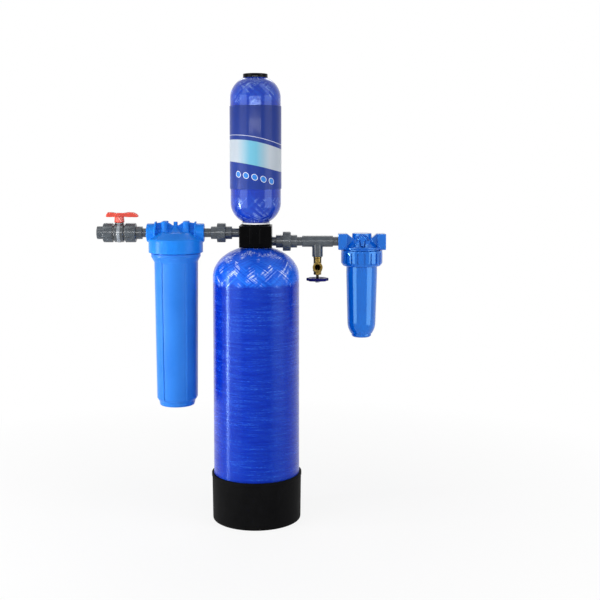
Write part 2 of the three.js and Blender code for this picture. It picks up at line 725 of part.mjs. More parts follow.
const INSERT = SOCKET_DEPTH - GAP;
function nipple(line, name, from, to) {
  piece(line, name, tube(PIPE_R, PIPE_BORE, from - INSERT, to + INSERT, PIPE_SIDES), PVC_GREY);
}

// Socket for a pipe, opened from the end at x; dir is the way out of the socket
const socketCut = (x, dir) => bar(socketR, x - dir * SOCKET_DEPTH, x + dir * OVERRUN, PIPE_SIDES);

// Where the two faces of a union meet, from the lip end of its nut
const faceOf = (lipX, dir) => lipX - dir * (LIP + GAP + FLANGE);

// Half of a union that the nut's lip holds: a hub with a flange inside the nut
function tailHalf(line, name, lipX, dir, length) {
  const faceX0 = faceOf(lipX, dir);
  const flangeX = faceX0 + dir * FLANGE;
  const endX = lipX + dir * length;
  piece(line, name, cut(turned([
    [PIPE_BORE, faceX0],
    [THREAD_R - FLANGE_IN, faceX0],
    [THREAD_R - FLANGE_IN, flangeX],
    [HUB_R, flangeX],
    [HUB_R, endX - dir * HUB_EDGE],
    [HUB_R - HUB_EDGE, endX],
    [PIPE_BORE, endX],
  ], PIPE_SIDES), socketCut(endX, dir)), PVC_GREY);
}

// Half of a union that the nut screws onto, with a step for the O-ring in its face
function threadedHalf(line, name, openX, lipX, dir, length) {
  const faceX0 = faceOf(lipX, dir) - dir * GAP;
  const endX = openX - dir * length;
  piece(line, name, cut(turned([
    [PIPE_BORE, faceX0 - dir * 2 * ORING],
    [ORING_SEAT_R + ORING + GAP, faceX0 - dir * 2 * ORING],
    [ORING_SEAT_R + ORING + GAP, faceX0],
    [THREAD_R, faceX0],
    [THREAD_R, openX],
    [HUB_R, openX],
    [HUB_R, endX + dir * HUB_EDGE],
    [HUB_R - HUB_EDGE, endX],
    [PIPE_BORE, endX],
  ], PIPE_SIDES), socketCut(endX, -dir)), PVC_GREY);
}

function faceOring(line, name, lipX, dir) {
  const z = faceOf(lipX, dir) - dir * (GAP + ORING - GAP / 2);
  piece(line, name, oring(ORING_SEAT_R, ORING, z, PIPE_SIDES), RUBBER);
}

function unionNut(line, name, openX, lipX, dir) {
  const [low, high] = [Math.min(openX, lipX), Math.max(openX, lipX)];
  const [lowEdge, highEdge] = dir > 0
    ? [NUT_OPEN_CHAMFER, NUT_LIP_CHAMFER] : [NUT_LIP_CHAMFER, NUT_OPEN_CHAMFER];
  const envelope = turned([
    [0, low],
    [NUT_R - lowEdge, low],
    [NUT_R, low + lowEdge],
    [NUT_R, high - highEdge],
    [NUT_R - highEdge, high],
    [0, high],
  ], PIPE_SIDES);
  const lipInX = lipX - dir * LIP;
  piece(line, name, cut(
    common(ribbed(NUT_R, NUT_RIB_H, NUT_RIBS, NUT_RIB_SHARE, low - OVERRUN, high + OVERRUN), envelope),
    bar(THREAD_R + THREAD_GAP, openX - dir * OVERRUN, lipInX, PIPE_SIDES),
    bar(HUB_R + THREAD_GAP, openX, lipX + dir * OVERRUN, PIPE_SIDES),
  ), PVC_GREY);
}

// Left line, from the manifold outwards

const leftTailX = -faceX - LEFT_NIPPLE;
const leftLipX = leftTailX - LEFT_TAIL;
const leftOpenX = leftLipX - LEFT_NUT;
const leftEndX = leftOpenX - LEFT_THREADED;
const preRightX = leftEndX - PREFILTER_NIPPLE;
const preX = preRightX - PREFILTER_W / 2;
const preLeftX = preRightX - PREFILTER_W;
const connectorX = preLeftX - VALVE_NIPPLE;
const outletLipX = connectorX - VALVE_CONNECTOR;
const outletOpenX = outletLipX - OUTLET_NUT;
const valveX = outletOpenX - VALVE_NECKS / 2;
const inletOpenX = outletOpenX - VALVE_NECKS;
const inletLipX = inletOpenX - INLET_NUT;

nipple(inletLine, "manifold_inlet_nipple", leftTailX, -faceX);
tailHalf(inletLine, "left_union_tail_half", leftLipX, 1, LEFT_TAIL);
threadedHalf(inletLine, "left_union_threaded_half", leftOpenX, leftLipX, 1, LEFT_THREADED);
faceOring(inletLine, "left_union_oring", leftLipX, 1);
unionNut(inletLine, "left_union_nut", leftOpenX, leftLipX, 1);
nipple(inletLine, "prefilter_outlet_nipple", preRightX, leftEndX);
nipple(inletLine, "prefilter_inlet_nipple", connectorX, preLeftX);
tailHalf(inletLine, "valve_outlet_connector", outletLipX, 1, VALVE_CONNECTOR);
unionNut(inletLine, "outlet_union_nut", outletOpenX, outletLipX, 1);
unionNut(inletLine, "inlet_union_nut", inletOpenX, inletLipX, -1);
tailHalf(inletLine, "inlet_end_connector", inletLipX, -1, VALVE_CONNECTOR);

// Shut-off valve

const bodyLeftX = faceOf(inletLipX, -1) + GAP;
const bodyRightX = faceOf(outletLipX, 1) - GAP;
const bulgeHalf = VALVE_BULGE_W / 2;
const bandHalf = VALVE_BAND_W / 2;
const bandR = VALVE_BULGE_R + VALVE_BAND_OUT;
const chamberR = SEAT_R + GAP;
const seatBack = SEAT_IN + SEAT_W;
const valveShell = turned([
  [0, bodyLeftX],
  [THREAD_R, bodyLeftX],
  [THREAD_R, inletOpenX],
  [VALVE_NECK_R, inletOpenX],
  [VALVE_NECK_R, valveX - bulgeHalf],
  [VALVE_BULGE_R - VALVE_BULGE_EDGE, valveX - bulgeHalf],
  [VALVE_BULGE_R, valveX - bulgeHalf + VALVE_BULGE_EDGE],
  [VALVE_BULGE_R, valveX - bandHalf],
  [bandR, valveX - bandHalf],
  [bandR, valveX + bandHalf],
  [VALVE_BULGE_R, valveX + bandHalf],
  [VALVE_BULGE_R, valveX + bulgeHalf - VALVE_BULGE_EDGE],
  [VALVE_BULGE_R - VALVE_BULGE_EDGE, valveX + bulgeHalf],
  [VALVE_NECK_R, valveX + bulgeHalf],
  [VALVE_NECK_R, outletOpenX],
  [THREAD_R, outletOpenX],
  [THREAD_R, bodyRightX],
  [0, bodyRightX],
], PIPE_SIDES);
const valveCut = turned([
  [0, bodyLeftX - OVERRUN],
  [chamberR, bodyLeftX - OVERRUN],
  [chamberR, valveX + seatBack + GAP],
  [SEAT_BORE, valveX + seatBack + GAP],
  [SEAT_BORE, bodyRightX + OVERRUN],
  [0, bodyRightX + OVERRUN],
], PIPE_SIDES);
const upright = (geometry) => geometry.rotateY(-Math.PI / 2).translate(0, 0, valveX);
piece(inletLine, "valve_body", cut(
  join(valveShell, upright(bar(TOWER_R, 0, TOWER_UP, PIPE_SIDES))),
  valveCut,
  upright(bar(STEM_R + THREAD_GAP, 0, TOWER_UP + OVERRUN, SMALL_SIDES)),
), PVC_GREY);

// Ball seat: a ring with a cone that the ball bears on
const seat = (dir) => turned([
  [SEAT_BORE, valveX + dir * seatBack],
  [SEAT_R, valveX + dir * seatBack],
  [SEAT_R, valveX + dir * SEAT_IN],
  [SEAT_BORE + SEAT_LEAN, valveX + dir * SEAT_IN],
  [SEAT_BORE, valveX + dir * (SEAT_IN + SEAT_LEAN)],
], PIPE_SIDES);
piece(inletLine, "valve_seat_left", seat(-1), NATURAL_WHITE);
piece(inletLine, "valve_seat_right", seat(1), NATURAL_WHITE);
piece(inletLine, "valve_seat_carrier",
  tube(SEAT_R, SEAT_BORE, bodyLeftX, valveX - seatBack - GAP, PIPE_SIDES), PVC_GREY);

// Valve key: ball, stem and handle turn together about the stem
const key = new THREE.Group();
key.position.set(valveX, 0, inletZ);
system.add(key);
const tangZ = BALL_R - TANG_H;
const stemTopZ = TOWER_UP + HANDLE_SOCKET_H;
piece(key, "valve_ball", cut(
  new THREE.SphereGeometry(BALL_R, PIPE_SIDES, PIPE_SIDES / 2).rotateX(Math.PI / 2),
  alongX(bar(PIPE_BORE, -BALL_R - OVERRUN, BALL_R + OVERRUN, SMALL_SIDES)),
  new THREE.BoxGeometry(BALL_R * 2, TANG_W + 2 * GAP, TANG_H + OVERRUN)
    .translate(0, 0, tangZ + (TANG_H + OVERRUN) / 2),
), NATURAL_WHITE);
piece(key, "valve_stem", cut(
  join(
    bar(STEM_R, BALL_R + GAP, stemTopZ - GAP, SMALL_SIDES),
    common(
      bar(STEM_R, tangZ + GAP, BALL_R + OVERRUN, SMALL_SIDES),
      new THREE.BoxGeometry(BALL_R, TANG_W, TANG_H * 2).translate(0, 0, BALL_R),
    ),
  ),
  tube(STEM_R + OVERRUN, STEM_R - 2 * STEM_ORING, STEM_ORING_UP - STEM_ORING - GAP,
    STEM_ORING_UP + STEM_ORING + GAP, SMALL_SIDES),
), PVC_GREY);
piece(key, "stem_oring",
  oring(STEM_R - STEM_ORING + GAP / 2, STEM_ORING, STEM_ORING_UP, SMALL_SIDES), RUBBER);

const hubZ = TOWER_UP + GAP;
const barZ = hubZ + HANDLE_HUB_H - HANDLE_BAR_DROP;
const handleOutline = [
  ...HANDLE_LONG_SHARES.map(([x, z]) => [x * HANDLE_LONG, z * HANDLE_BAR_H]),
  ...HANDLE_SHORT_SHARES.map(([x, z]) => [-x * HANDLE_SHORT, z * HANDLE_BAR_H]),
];
const handleShape = new THREE.Shape(handleOutline.map(([x, z]) => new THREE.Vector2(x, z)));
const handleBar = new THREE.ExtrudeGeometry(handleShape, {
  depth: HANDLE_BAR_W - 2 * HANDLE_BEVEL,
  bevelThickness: HANDLE_BEVEL,
  bevelSize: HANDLE_BEVEL,
  bevelOffset: -HANDLE_BEVEL,
  bevelSegments: 1,
}).translate(0, 0, HANDLE_BEVEL - HANDLE_BAR_W / 2).rotateX(Math.PI / 2).translate(0, 0, barZ);
piece(key, "valve_handle", cut(
  join(
    turned([
      [0, hubZ],
      [HANDLE_HUB_R, hubZ],
      [HANDLE_HUB_R - HANDLE_HUB_TAPER, hubZ + HANDLE_HUB_H],
      [0, hubZ + HANDLE_HUB_H],
    ], PIPE_SIDES),
    handleBar,
  ),
  bar(STEM_R + GAP, hubZ - OVERRUN, stemTopZ, SMALL_SIDES),
), HANDLE_RED);

// Prefilter cap, in a group on the housing's axis at the height of its ports

const prefilter = new THREE.Group();
prefilter.position.set(preX, 0, inletZ);
system.add(prefilter);
const preHalf = PREFILTER_W / 2;
const skirtZ = -PRE_SKIRT_DROP;
const skirtTopZ = skirtZ + PRE_SKIRT_H;
const threadTopZ = skirtZ + PRE_THREAD_H;
const roofZ = threadTopZ + PRE_ROOF_H;
const chamberTopZ = roofZ + PRE_CHAMBER_H;
const preSeatZ = chamberTopZ - PRE_SEAT_H;
const finX = preHalf - PRE_PORT_W;
const bossPlaces = [-1, 1].flatMap((sx) => [-1, 1].map((sy) => [sx * PRE_BOSS_X, sy * PRE_BOSS_Y]));
const prePort = (side) => alongX(turned([
  [0, 0],
  [PRE_PORT_R, 0],
  [PRE_PORT_R, side * (preHalf - PRE_PORT_EDGE)],
  [PRE_PORT_R - PRE_PORT_EDGE, side * preHalf],
  [0, side * preHalf],
], PIPE_SIDES));
const finPlate = (side) => prism([
  [-PRE_FIN_R, skirtTopZ - PRE_SKIRT_EDGE], [PRE_FIN_R, skirtTopZ - PRE_SKIRT_EDGE],
  [PRE_FIN_R, 0], [PRE_FIN_TOP, PRE_FIN_R], [-PRE_FIN_TOP, PRE_FIN_R], [-PRE_FIN_R, 0],
], finX - PRE_FIN_W, finX).rotateX(Math.PI / 2).rotateZ((side * Math.PI) / 2);
const preDome = turned([
  [0, skirtZ],
  [PRE_SKIRT_R, skirtZ],
  [PRE_SKIRT_R, skirtTopZ - PRE_SKIRT_EDGE],
  [PRE_SKIRT_R - PRE_SKIRT_EDGE, skirtTopZ],
  [PRE_CROWN_R, skirtTopZ + PRE_CROWN_H],
  [0, skirtTopZ + PRE_CROWN_H],
], HOUSING_SIDES);
const preEnds = [-1, 1].map((side) => common(
  prePort(side),
  new THREE.BoxGeometry(PRE_PORT_W, PREFILTER_W, PREFILTER_W)
    .translate(side * (preHalf - PRE_PORT_W / 2), 0, 0),
));
piece(prefilter, "prefilter_cap", cut(
  join(
    preDome,
    ...preEnds,
    finPlate(-1),
    finPlate(1),
    alongX(bar(PRE_SADDLE_R, -finX, finX, PIPE_SIDES)),
    new THREE.BoxGeometry(2 * finX, PRE_WEB_W, PRE_WEB_UP).translate(0, 0, PRE_WEB_UP / 2),
    ...bossPlaces.map(([x, y]) => bar(PRE_BOSS_R, 0, PRE_BOSS_UP, SMALL_SIDES).translate(x, y, 0)),
    bar(PRE_NUB_R, 0, PRE_NUB_UP, SMALL_SIDES),
  ),
  turned([
    [0, skirtZ - OVERRUN],
    [PRE_THREAD_R + THREAD_GAP, skirtZ - OVERRUN],
    [PRE_THREAD_R + THREAD_GAP, roofZ],
    [PRE_CHAMBER_R, roofZ],
    [PRE_CHAMBER_R, chamberTopZ],
    [PRE_SEAT_R, chamberTopZ],
    [PRE_SEAT_R, preSeatZ],
    [0, preSeatZ],
  ], HOUSING_SIDES),
  ...[-1, 1].map((side) => alongX(bar(
    socketR, side * (preHalf - SOCKET_DEPTH), side * (preHalf + OVERRUN), PIPE_SIDES))),
  alongX(bar(PIPE_BORE, -preHalf, -PRE_INLET_OFF, SMALL_SIDES)),
  bar(PIPE_BORE, preSeatZ, 0, SMALL_SIDES).translate(-PRE_INLET_OFF, 0, 0),
  alongX(bar(PIPE_BORE, 0, preHalf, SMALL_SIDES)),
  bar(PIPE_BORE, preSeatZ - OVERRUN, 0, SMALL_SIDES),
  ...bossPlaces.map(([x, y]) =>
    bar(PRE_SCREW_R, PRE_BOSS_UP - PRE_SCREW_H, PRE_BOSS_UP + OVERRUN, RING_SIDES).translate(x, y, 0)),
), SUMP_BLUE);

// Prefilter sump with its O-ring, and the cartridge that stands in it

const sumpFlangeZ = skirtZ - GAP;
const sumpTopZ = roofZ - SUMP_ORING - GAP;
const sumpConeZ = sumpFlangeZ - SUMP_FLANGE_H - SUMP_CONE_H;
const sumpLowZ = sumpConeZ - SUMP_BODY_H;
const sumpFootZ = sumpLowZ - SUMP_STEP_H;
const sumpZ = sumpFootZ - SUMP_FOOT_H;
const sumpFloorZ = sumpZ + SUMP_FLOOR;
const grooveIn = SUMP_ORING_R - SUMP_ORING - GAP;
const grooveOut = SUMP_ORING_R + SUMP_ORING + GAP;
const sumpOringZ = roofZ - GAP - SUMP_ORING;
const grooveZ = sumpOringZ - SUMP_ORING - GAP;
const sumpRibs = Array.from({ length: SUMP_RIBS }, (_, i) => blade([
  [SUMP_TOP_R - SUMP_WALL / 2, sumpConeZ],
  [SUMP_TOP_R - SUMP_WALL / 2, sumpConeZ + SUMP_CONE_H / 2],
  [(SUMP_TOP_R + SUMP_FLANGE_R) / 2, sumpConeZ + SUMP_CONE_H / 2],
  [SUMP_TOP_R + SUMP_RIB_OUT, sumpConeZ],
  [SUMP_LOW_R + SUMP_RIB_OUT, sumpLowZ],
  [SUMP_LOW_R - SUMP_WALL / 2, sumpLowZ],
], SUMP_RIB_W, Math.PI / 2 + (2 * Math.PI * i) / SUMP_RIBS));
piece(prefilter, "prefilter_sump", cut(
  join(
    turned([
      [0, sumpZ],
      [SUMP_FOOT_LOW_R, sumpZ],
      [SUMP_FOOT_R, sumpFootZ],
      [SUMP_LOW_R, sumpLowZ],
      [SUMP_TOP_R, sumpConeZ],
      [SUMP_FLANGE_R, sumpConeZ + SUMP_CONE_H],
      [SUMP_FLANGE_R, sumpFlangeZ],
      [PRE_THREAD_R, sumpFlangeZ],
      [PRE_THREAD_R, sumpTopZ],
      [0, sumpTopZ],
    ], HOUSING_SIDES),
    ...sumpRibs,
  ),
  turned([
    [0, sumpFloorZ + SUMP_PILOT_H],
    [SUMP_PILOT_R, sumpFloorZ + SUMP_PILOT_H],
    [SUMP_PILOT_R, sumpFloorZ],
    [SUMP_FOOT_LOW_R - SUMP_WALL, sumpFloorZ],
    [SUMP_FOOT_R - SUMP_WALL, sumpFootZ],
    [SUMP_LOW_R - SUMP_WALL, sumpLowZ + SUMP_WALL],
    [SUMP_TOP_R - SUMP_WALL, sumpConeZ],
    [grooveIn - SUMP_WALL, sumpConeZ + SUMP_CONE_H],
    [grooveIn - SUMP_WALL, sumpTopZ + OVERRUN],
    [0, sumpTopZ + OVERRUN],
  ], HOUSING_SIDES),
  tube(grooveOut, grooveIn, grooveZ, sumpTopZ + OVERRUN, HOUSING_SIDES),
), SUMP_BLUE);
piece(prefilter, "sump_oring", oring(SUMP_ORING_R, SUMP_ORING, sumpOringZ, HOUSING_SIDES), RUBBER);

// Cartridge: a media sleeve bonded on its core, with a bore for the clean water
function cartridge(parent, name, from, to) {
  piece(parent, name, tube(CARTRIDGE_R, CARTRIDGE_BORE, from, to, PIPE_SIDES), CARTRIDGE_WHITE);
}
cartridge(prefilter, "prefilter_cartridge", sumpFloorZ + GAP, preSeatZ - GAP);

// Right line

const rightNippleX = faceX + RIGHT_NIPPLE;
const rightOpenX = rightNippleX + RIGHT_THREADED;
const rightLipX = rightOpenX + RIGHT_NUT;
const rightTailX = rightLipX + RIGHT_TAIL;
const teeLeftX = rightTailX + TEE_NIPPLE;
const teeX = teeLeftX + TEE_W / 2;
const teeRightX = teeLeftX + TEE_W;
const postLeftX = teeRightX + POST_NIPPLE;
const postX = postLeftX + POST_W / 2;

nipple(outletLine, "manifold_outlet_nipple", faceX, rightNippleX);
threadedHalf(outletLine, "right_union_threaded_half", rightOpenX, rightLipX, 1, RIGHT_THREADED);
faceOring(outletLine, "right_union_oring", rightLipX, 1);
unionNut(outletLine, "right_union_nut", rightOpenX, rightLipX, 1);
tailHalf(outletLine, "right_union_tail_half", rightLipX, 1, RIGHT_TAIL);
nipple(outletLine, "tee_inlet_nipple", rightTailX, teeLeftX);
nipple(outletLine, "tee_outlet_nipple", teeRightX, postLeftX);

// Drain tee, in a group at the crossing of its run and its branch

const drain = new THREE.Group();
drain.position.set(teeX, 0, outletZ);
system.add(drain);
const teeHalf = TEE_W / 2;
const branchZ = -TEE_BRANCH_DROP;
piece(drain, "drain_tee", cut(
  join(
    alongX(turned([
      [0, -teeHalf],
      [TEE_R - HUB_EDGE, -teeHalf],
      [TEE_R, -teeHalf + HUB_EDGE],
      [TEE_R, teeHalf - HUB_EDGE],
      [TEE_R - HUB_EDGE, teeHalf],
      [0, teeHalf],
    ], PIPE_SIDES)),
    bar(TEE_BRANCH_R, branchZ, 0, PIPE_SIDES),
  ),
  alongX(bar(PIPE_BORE, -teeHalf - OVERRUN, teeHalf + OVERRUN, SMALL_SIDES)),
  ...[-1, 1].map((side) => alongX(bar(
    socketR, side * (teeHalf - SOCKET_DEPTH), side * (teeHalf + OVERRUN), PIPE_SIDES))),
  bar(PIPE_BORE, branchZ, 0, SMALL_SIDES),
  bar(TEE_THREAD_R + GAP, branchZ - OVERRUN, branchZ + TEE_THREAD_H, PIPE_SIDES),
), PVC_GREY);

// Drain valve: the water comes from above, the disc closes its seat from below
const barrelZ = branchZ - GAP;
const barrelLowZ = barrelZ - DRAIN_BARREL_H;
const drainSeatZ = barrelZ - DRAIN_SEAT_DOWN;
const spoutZ = barrelZ - DRAIN_SPOUT_DOWN;
piece(drain, "drain_valve_body", cut(
  join(
    bar(TEE_THREAD_R, barrelZ - OVERRUN, branchZ + TEE_THREAD_H - GAP, PIPE_SIDES),
    bar(DRAIN_BARREL_R, barrelLowZ, barrelZ, PIPE_SIDES),
    towardsFront(turned([
      [0, 0],
      [DRAIN_SPOUT_R, 0],
      [DRAIN_SPOUT_R, DRAIN_SPOUT_LENGTH - DRAIN_SPOUT_LIP_W],
      [DRAIN_SPOUT_LIP_R, DRAIN_SPOUT_LENGTH - DRAIN_SPOUT_LIP_W],
      [DRAIN_SPOUT_LIP_R, DRAIN_SPOUT_LENGTH],
      [0, DRAIN_SPOUT_LENGTH],
    ], PIPE_SIDES)).translate(0, 0, spoutZ),
  ),
  bar(DRAIN_BORE, drainSeatZ - OVERRUN, branchZ + TEE_THREAD_H + OVERRUN, SMALL_SIDES),
  bar(DRAIN_CHAMBER_R, barrelLowZ - OVERRUN, drainSeatZ, PIPE_SIDES),
  towardsFront(bar(DRAIN_SPOUT_BORE, 0, DRAIN_SPOUT_LENGTH + OVERRUN, PIPE_SIDES))
    .translate(0, 0, spoutZ),
), BRASS);
const packingZ = barrelLowZ - GAP;
const packingLowZ = packingZ - PACKING_H;
piece(drain, "drain_packing_nut", cut(
  join(
    bar(PACKING_R, packingLowZ, packingZ, PACKING_SIDES),
    bar(PACKING_SHANK_R, packingZ - OVERRUN, packingZ + PACKING_SHANK_H, PIPE_SIDES),
  ),
  bar(DRAIN_STEM_R + THREAD_GAP, packingLowZ - OVERRUN, packingZ + PACKING_SHANK_H + OVERRUN,
    SMALL_SIDES),
), BRASS);
const discZ = drainSeatZ - GAP - DISC_H;
piece(drain, "drain_seat_disc", bar(DISC_R, discZ, drainSeatZ - GAP, PIPE_SIDES), RUBBER);
const wheelZ = packingLowZ - STEM_TO_WHEEL;
const wheelLowZ = wheelZ - WHEEL_T;
const wheelHubLowZ = wheelZ - WHEEL_HUB_H;
const stemEndZ = wheelHubLowZ;
piece(drain, "drain_stem", cut(
  bar(DRAIN_STEM_R, stemEndZ, discZ - GAP, SMALL_SIDES),
  bar(WHEEL_SCREW_SHANK_R + GAP, stemEndZ - OVERRUN, stemEndZ + WHEEL_SCREW_SHANK_H + GAP,
    RING_SIDES),
), BRASS);

// Handwheel with a lobed rim and round windows between its hub and rim
const wheelPoints = Array.from({ length: WHEEL_LOBES * LOBE_POINTS }, (_, i) => {
  const angle = (2 * Math.PI * i) / (WHEEL_LOBES * LOBE_POINTS);
  const wave = (1 - Math.cos(angle * WHEEL_LOBES)) / 2;
  const r = WHEEL_R - WHEEL_BEVEL - WHEEL_LOBE_DEPTH * wave;
  return new THREE.Vector2(r * Math.cos(angle), r * Math.sin(angle));
});
const wheelDisc = new THREE.ExtrudeGeometry(new THREE.Shape(wheelPoints), {
  depth: WHEEL_T - 2 * WHEEL_BEVEL,
  bevelThickness: WHEEL_BEVEL,
  bevelSize: WHEEL_BEVEL,
  bevelSegments: 1,
}).translate(0, 0, wheelLowZ + WHEEL_BEVEL);
const wheelWindows = Array.from({ length: WHEEL_WINDOWS }, (_, i) =>
  bar(WHEEL_WINDOW_R, wheelLowZ - OVERRUN, wheelZ + OVERRUN, SMALL_SIDES)
    .translate(WHEEL_WINDOW_OUT, 0, 0)
    .rotateZ((2 * Math.PI * (i + 1 / 2)) / WHEEL_WINDOWS));
piece(drain, "drain_handwheel", cut(
  join(wheelDisc, bar(WHEEL_HUB_R, wheelHubLowZ, wheelZ, SMALL_SIDES)),
  ...wheelWindows,
  bar(DRAIN_STEM_R + GAP, wheelHubLowZ - OVERRUN, wheelZ + OVERRUN, SMALL_SIDES),
), WHEEL_NAVY);
const screwZ = wheelHubLowZ - GAP;
piece(drain, "handwheel_screw", join(
  bar(WHEEL_SCREW_R, screwZ - WHEEL_SCREW_H, screwZ, SMALL_SIDES),
  bar(WHEEL_SCREW_SHANK_R, screwZ - WHEEL_SCREW_H, screwZ + WHEEL_SCREW_SHANK_H, RING_SIDES),
), STEEL);

// Post filter head, in a group on the housing's axis at the height of its ports

const postfilter = new THREE.Group();
postfilter.position.set(postX, 0, outletZ);
system.add(postfilter);
const postHalf = POST_W / 2;
const rimZ = -POST_RIM_DROP;
const rimTopZ = rimZ + POST_RIM_H;
const ringTopZ = -POST_PORT_DROP - POST_UNDER_H;
const neckZ = ringTopZ - POST_NECK_H;
const neckRoofZ = ringTopZ - POST_ROOF_H;
const postSeatZ = neckRoofZ - POST_SEAT_H;
const slopeX = postHalf - POST_PORT_FLAT;
const saddleX = slopeX - POST_PORT_SLOPE;
const saddleZ = POST_PORT_RISE - POST_SADDLE_DROP;
const postBridge = prism([
  [-slopeX - OVERRUN, -POST_PORT_DROP], [slopeX + OVERRUN, -POST_PORT_DROP],
  [slopeX + OVERRUN, POST_PORT_RISE], [slopeX, POST_PORT_RISE], [saddleX, saddleZ],
  [-saddleX, saddleZ], [-slopeX, POST_PORT_RISE], [-slopeX - OVERRUN, POST_PORT_RISE],
], -POST_BRIDGE_D / 2, POST_BRIDGE_D / 2).rotateX(Math.PI / 2);
const postPorts = [-1, 1].map((side) => new THREE.BoxGeometry(
  POST_PORT_FLAT, POST_PORT_D, POST_PORT_DROP + POST_PORT_RISE,
).translate(side * (postHalf - POST_PORT_FLAT / 2), 0, (POST_PORT_RISE - POST_PORT_DROP) / 2));
const crownZ = POST_CROWN_RISE;
const hood = towardsFront(bar(POST_HOOD_R, 0, POST_HOOD_Y, PIPE_SIDES)).translate(0, 0, POST_HOOD_UP);
const archGroove = common(
  towardsFront(tube(POST_ARCH_R, POST_ARCH_R - POST_ARCH_W, POST_HOOD_Y - POST_ARCH_IN,
    POST_HOOD_Y + OVERRUN, PIPE_SIDES)).translate(0, 0, POST_HOOD_UP),
  new THREE.BoxGeometry(POST_W, POST_W, POST_W).translate(0, 0, POST_W / 2 + POST_ARCH_LOW),
);
const plug = (grow) => prism([
  [-POST_PLUG_LOW_W / 2 - grow, POST_PLUG_LOW - grow],
  [POST_PLUG_LOW_W / 2 + grow, POST_PLUG_LOW - grow],
  [POST_PLUG_TOP_W / 2 + grow, POST_PLUG_TOP],
  [-POST_PLUG_TOP_W / 2 - grow, POST_PLUG_TOP],
], POST_SLIT_Y - POST_SLIT_W + grow, POST_CONE_R + grow).rotateX(Math.PI / 2);
piece(postfilter, "postfilter_head", cut(
  join(
    cut(
      join(
        ...postPorts,
        postBridge,
        turned([
          [0, ringTopZ],
          [POST_UNDER_R, ringTopZ],
          [POST_UNDER_R, rimZ],
          [POST_RIM_R, rimZ],
          [POST_RIM_R, rimTopZ],
          [POST_CONE_R, rimTopZ],
          [POST_CROWN_ROOT_R, rimTopZ + POST_CONE_H],
          [POST_CROWN_R, crownZ],
          [0, crownZ],
        ], HOUSING_SIDES),
        hood,
      ),
      archGroove,
      cut(plug(POST_SLIT_W), plug(0)),
    ),
    bar(POST_NECK_R, neckZ, rimZ, HOUSING_SIDES),
  ),
  turned([
    [0, neckZ - OVERRUN],
    [POST_NECK_BORE, neckZ - OVERRUN],
    [POST_NECK_BORE, neckRoofZ],
    [POST_SEAT_R, neckRoofZ],
    [POST_SEAT_R, postSeatZ],
    [0, postSeatZ],
  ], HOUSING_SIDES),
  ...[-1, 1].map((side) => alongX(bar(
    socketR, side * (postHalf - SOCKET_DEPTH), side * (postHalf + OVERRUN), PIPE_SIDES))),
  alongX(bar(PIPE_BORE, -postHalf, -POST_INLET_OFF, SMALL_SIDES)),
  bar(PIPE_BORE, postSeatZ, 0, SMALL_SIDES).translate(-POST_INLET_OFF, 0, 0),
  alongX(bar(PIPE_BORE, 0, postHalf, SMALL_SIDES)),
  bar(PIPE_BORE, postSeatZ - OVERRUN, 0, SMALL_SIDES),
), POST_BLUE);

// Ribbed ring nut, which lifts the bowl by its flange
const ringLowZ = ringTopZ - GAP - RING_H;
const ringZ = ringTopZ - GAP;
const lipTopZ = ringLowZ + RING_LIP_H;
const ringRootR = RING_R - RING_RIB_H;
const ringEnvelope = turned([
  [0, ringLowZ],
  [RING_R - RING_ROUND_IN, ringLowZ],
  [RING_R, ringLowZ + RING_ROUND],
  [RING_R, ringZ],
  [0, ringZ],
], HOUSING_SIDES);
piece(postfilter, "postfilter_ring_nut", cut(
  join(
    common(ribbed(RING_R, RING_RIB_H, RING_RIBS, RING_RIB_SHARE, ringLowZ - OVERRUN, ringZ - RING_BAND_H),
      ringEnvelope),
    bar(ringRootR, ringZ - RING_BAND_H - OVERRUN, ringZ, HOUSING_SIDES),
  ),
  bar(POST_NECK_R + THREAD_GAP, lipTopZ, ringZ + OVERRUN, HOUSING_SIDES),
  bar(BOWL_TOP_R + THREAD_GAP, ringLowZ - OVERRUN, lipTopZ + OVERRUN, HOUSING_SIDES),
), POST_BLUE);

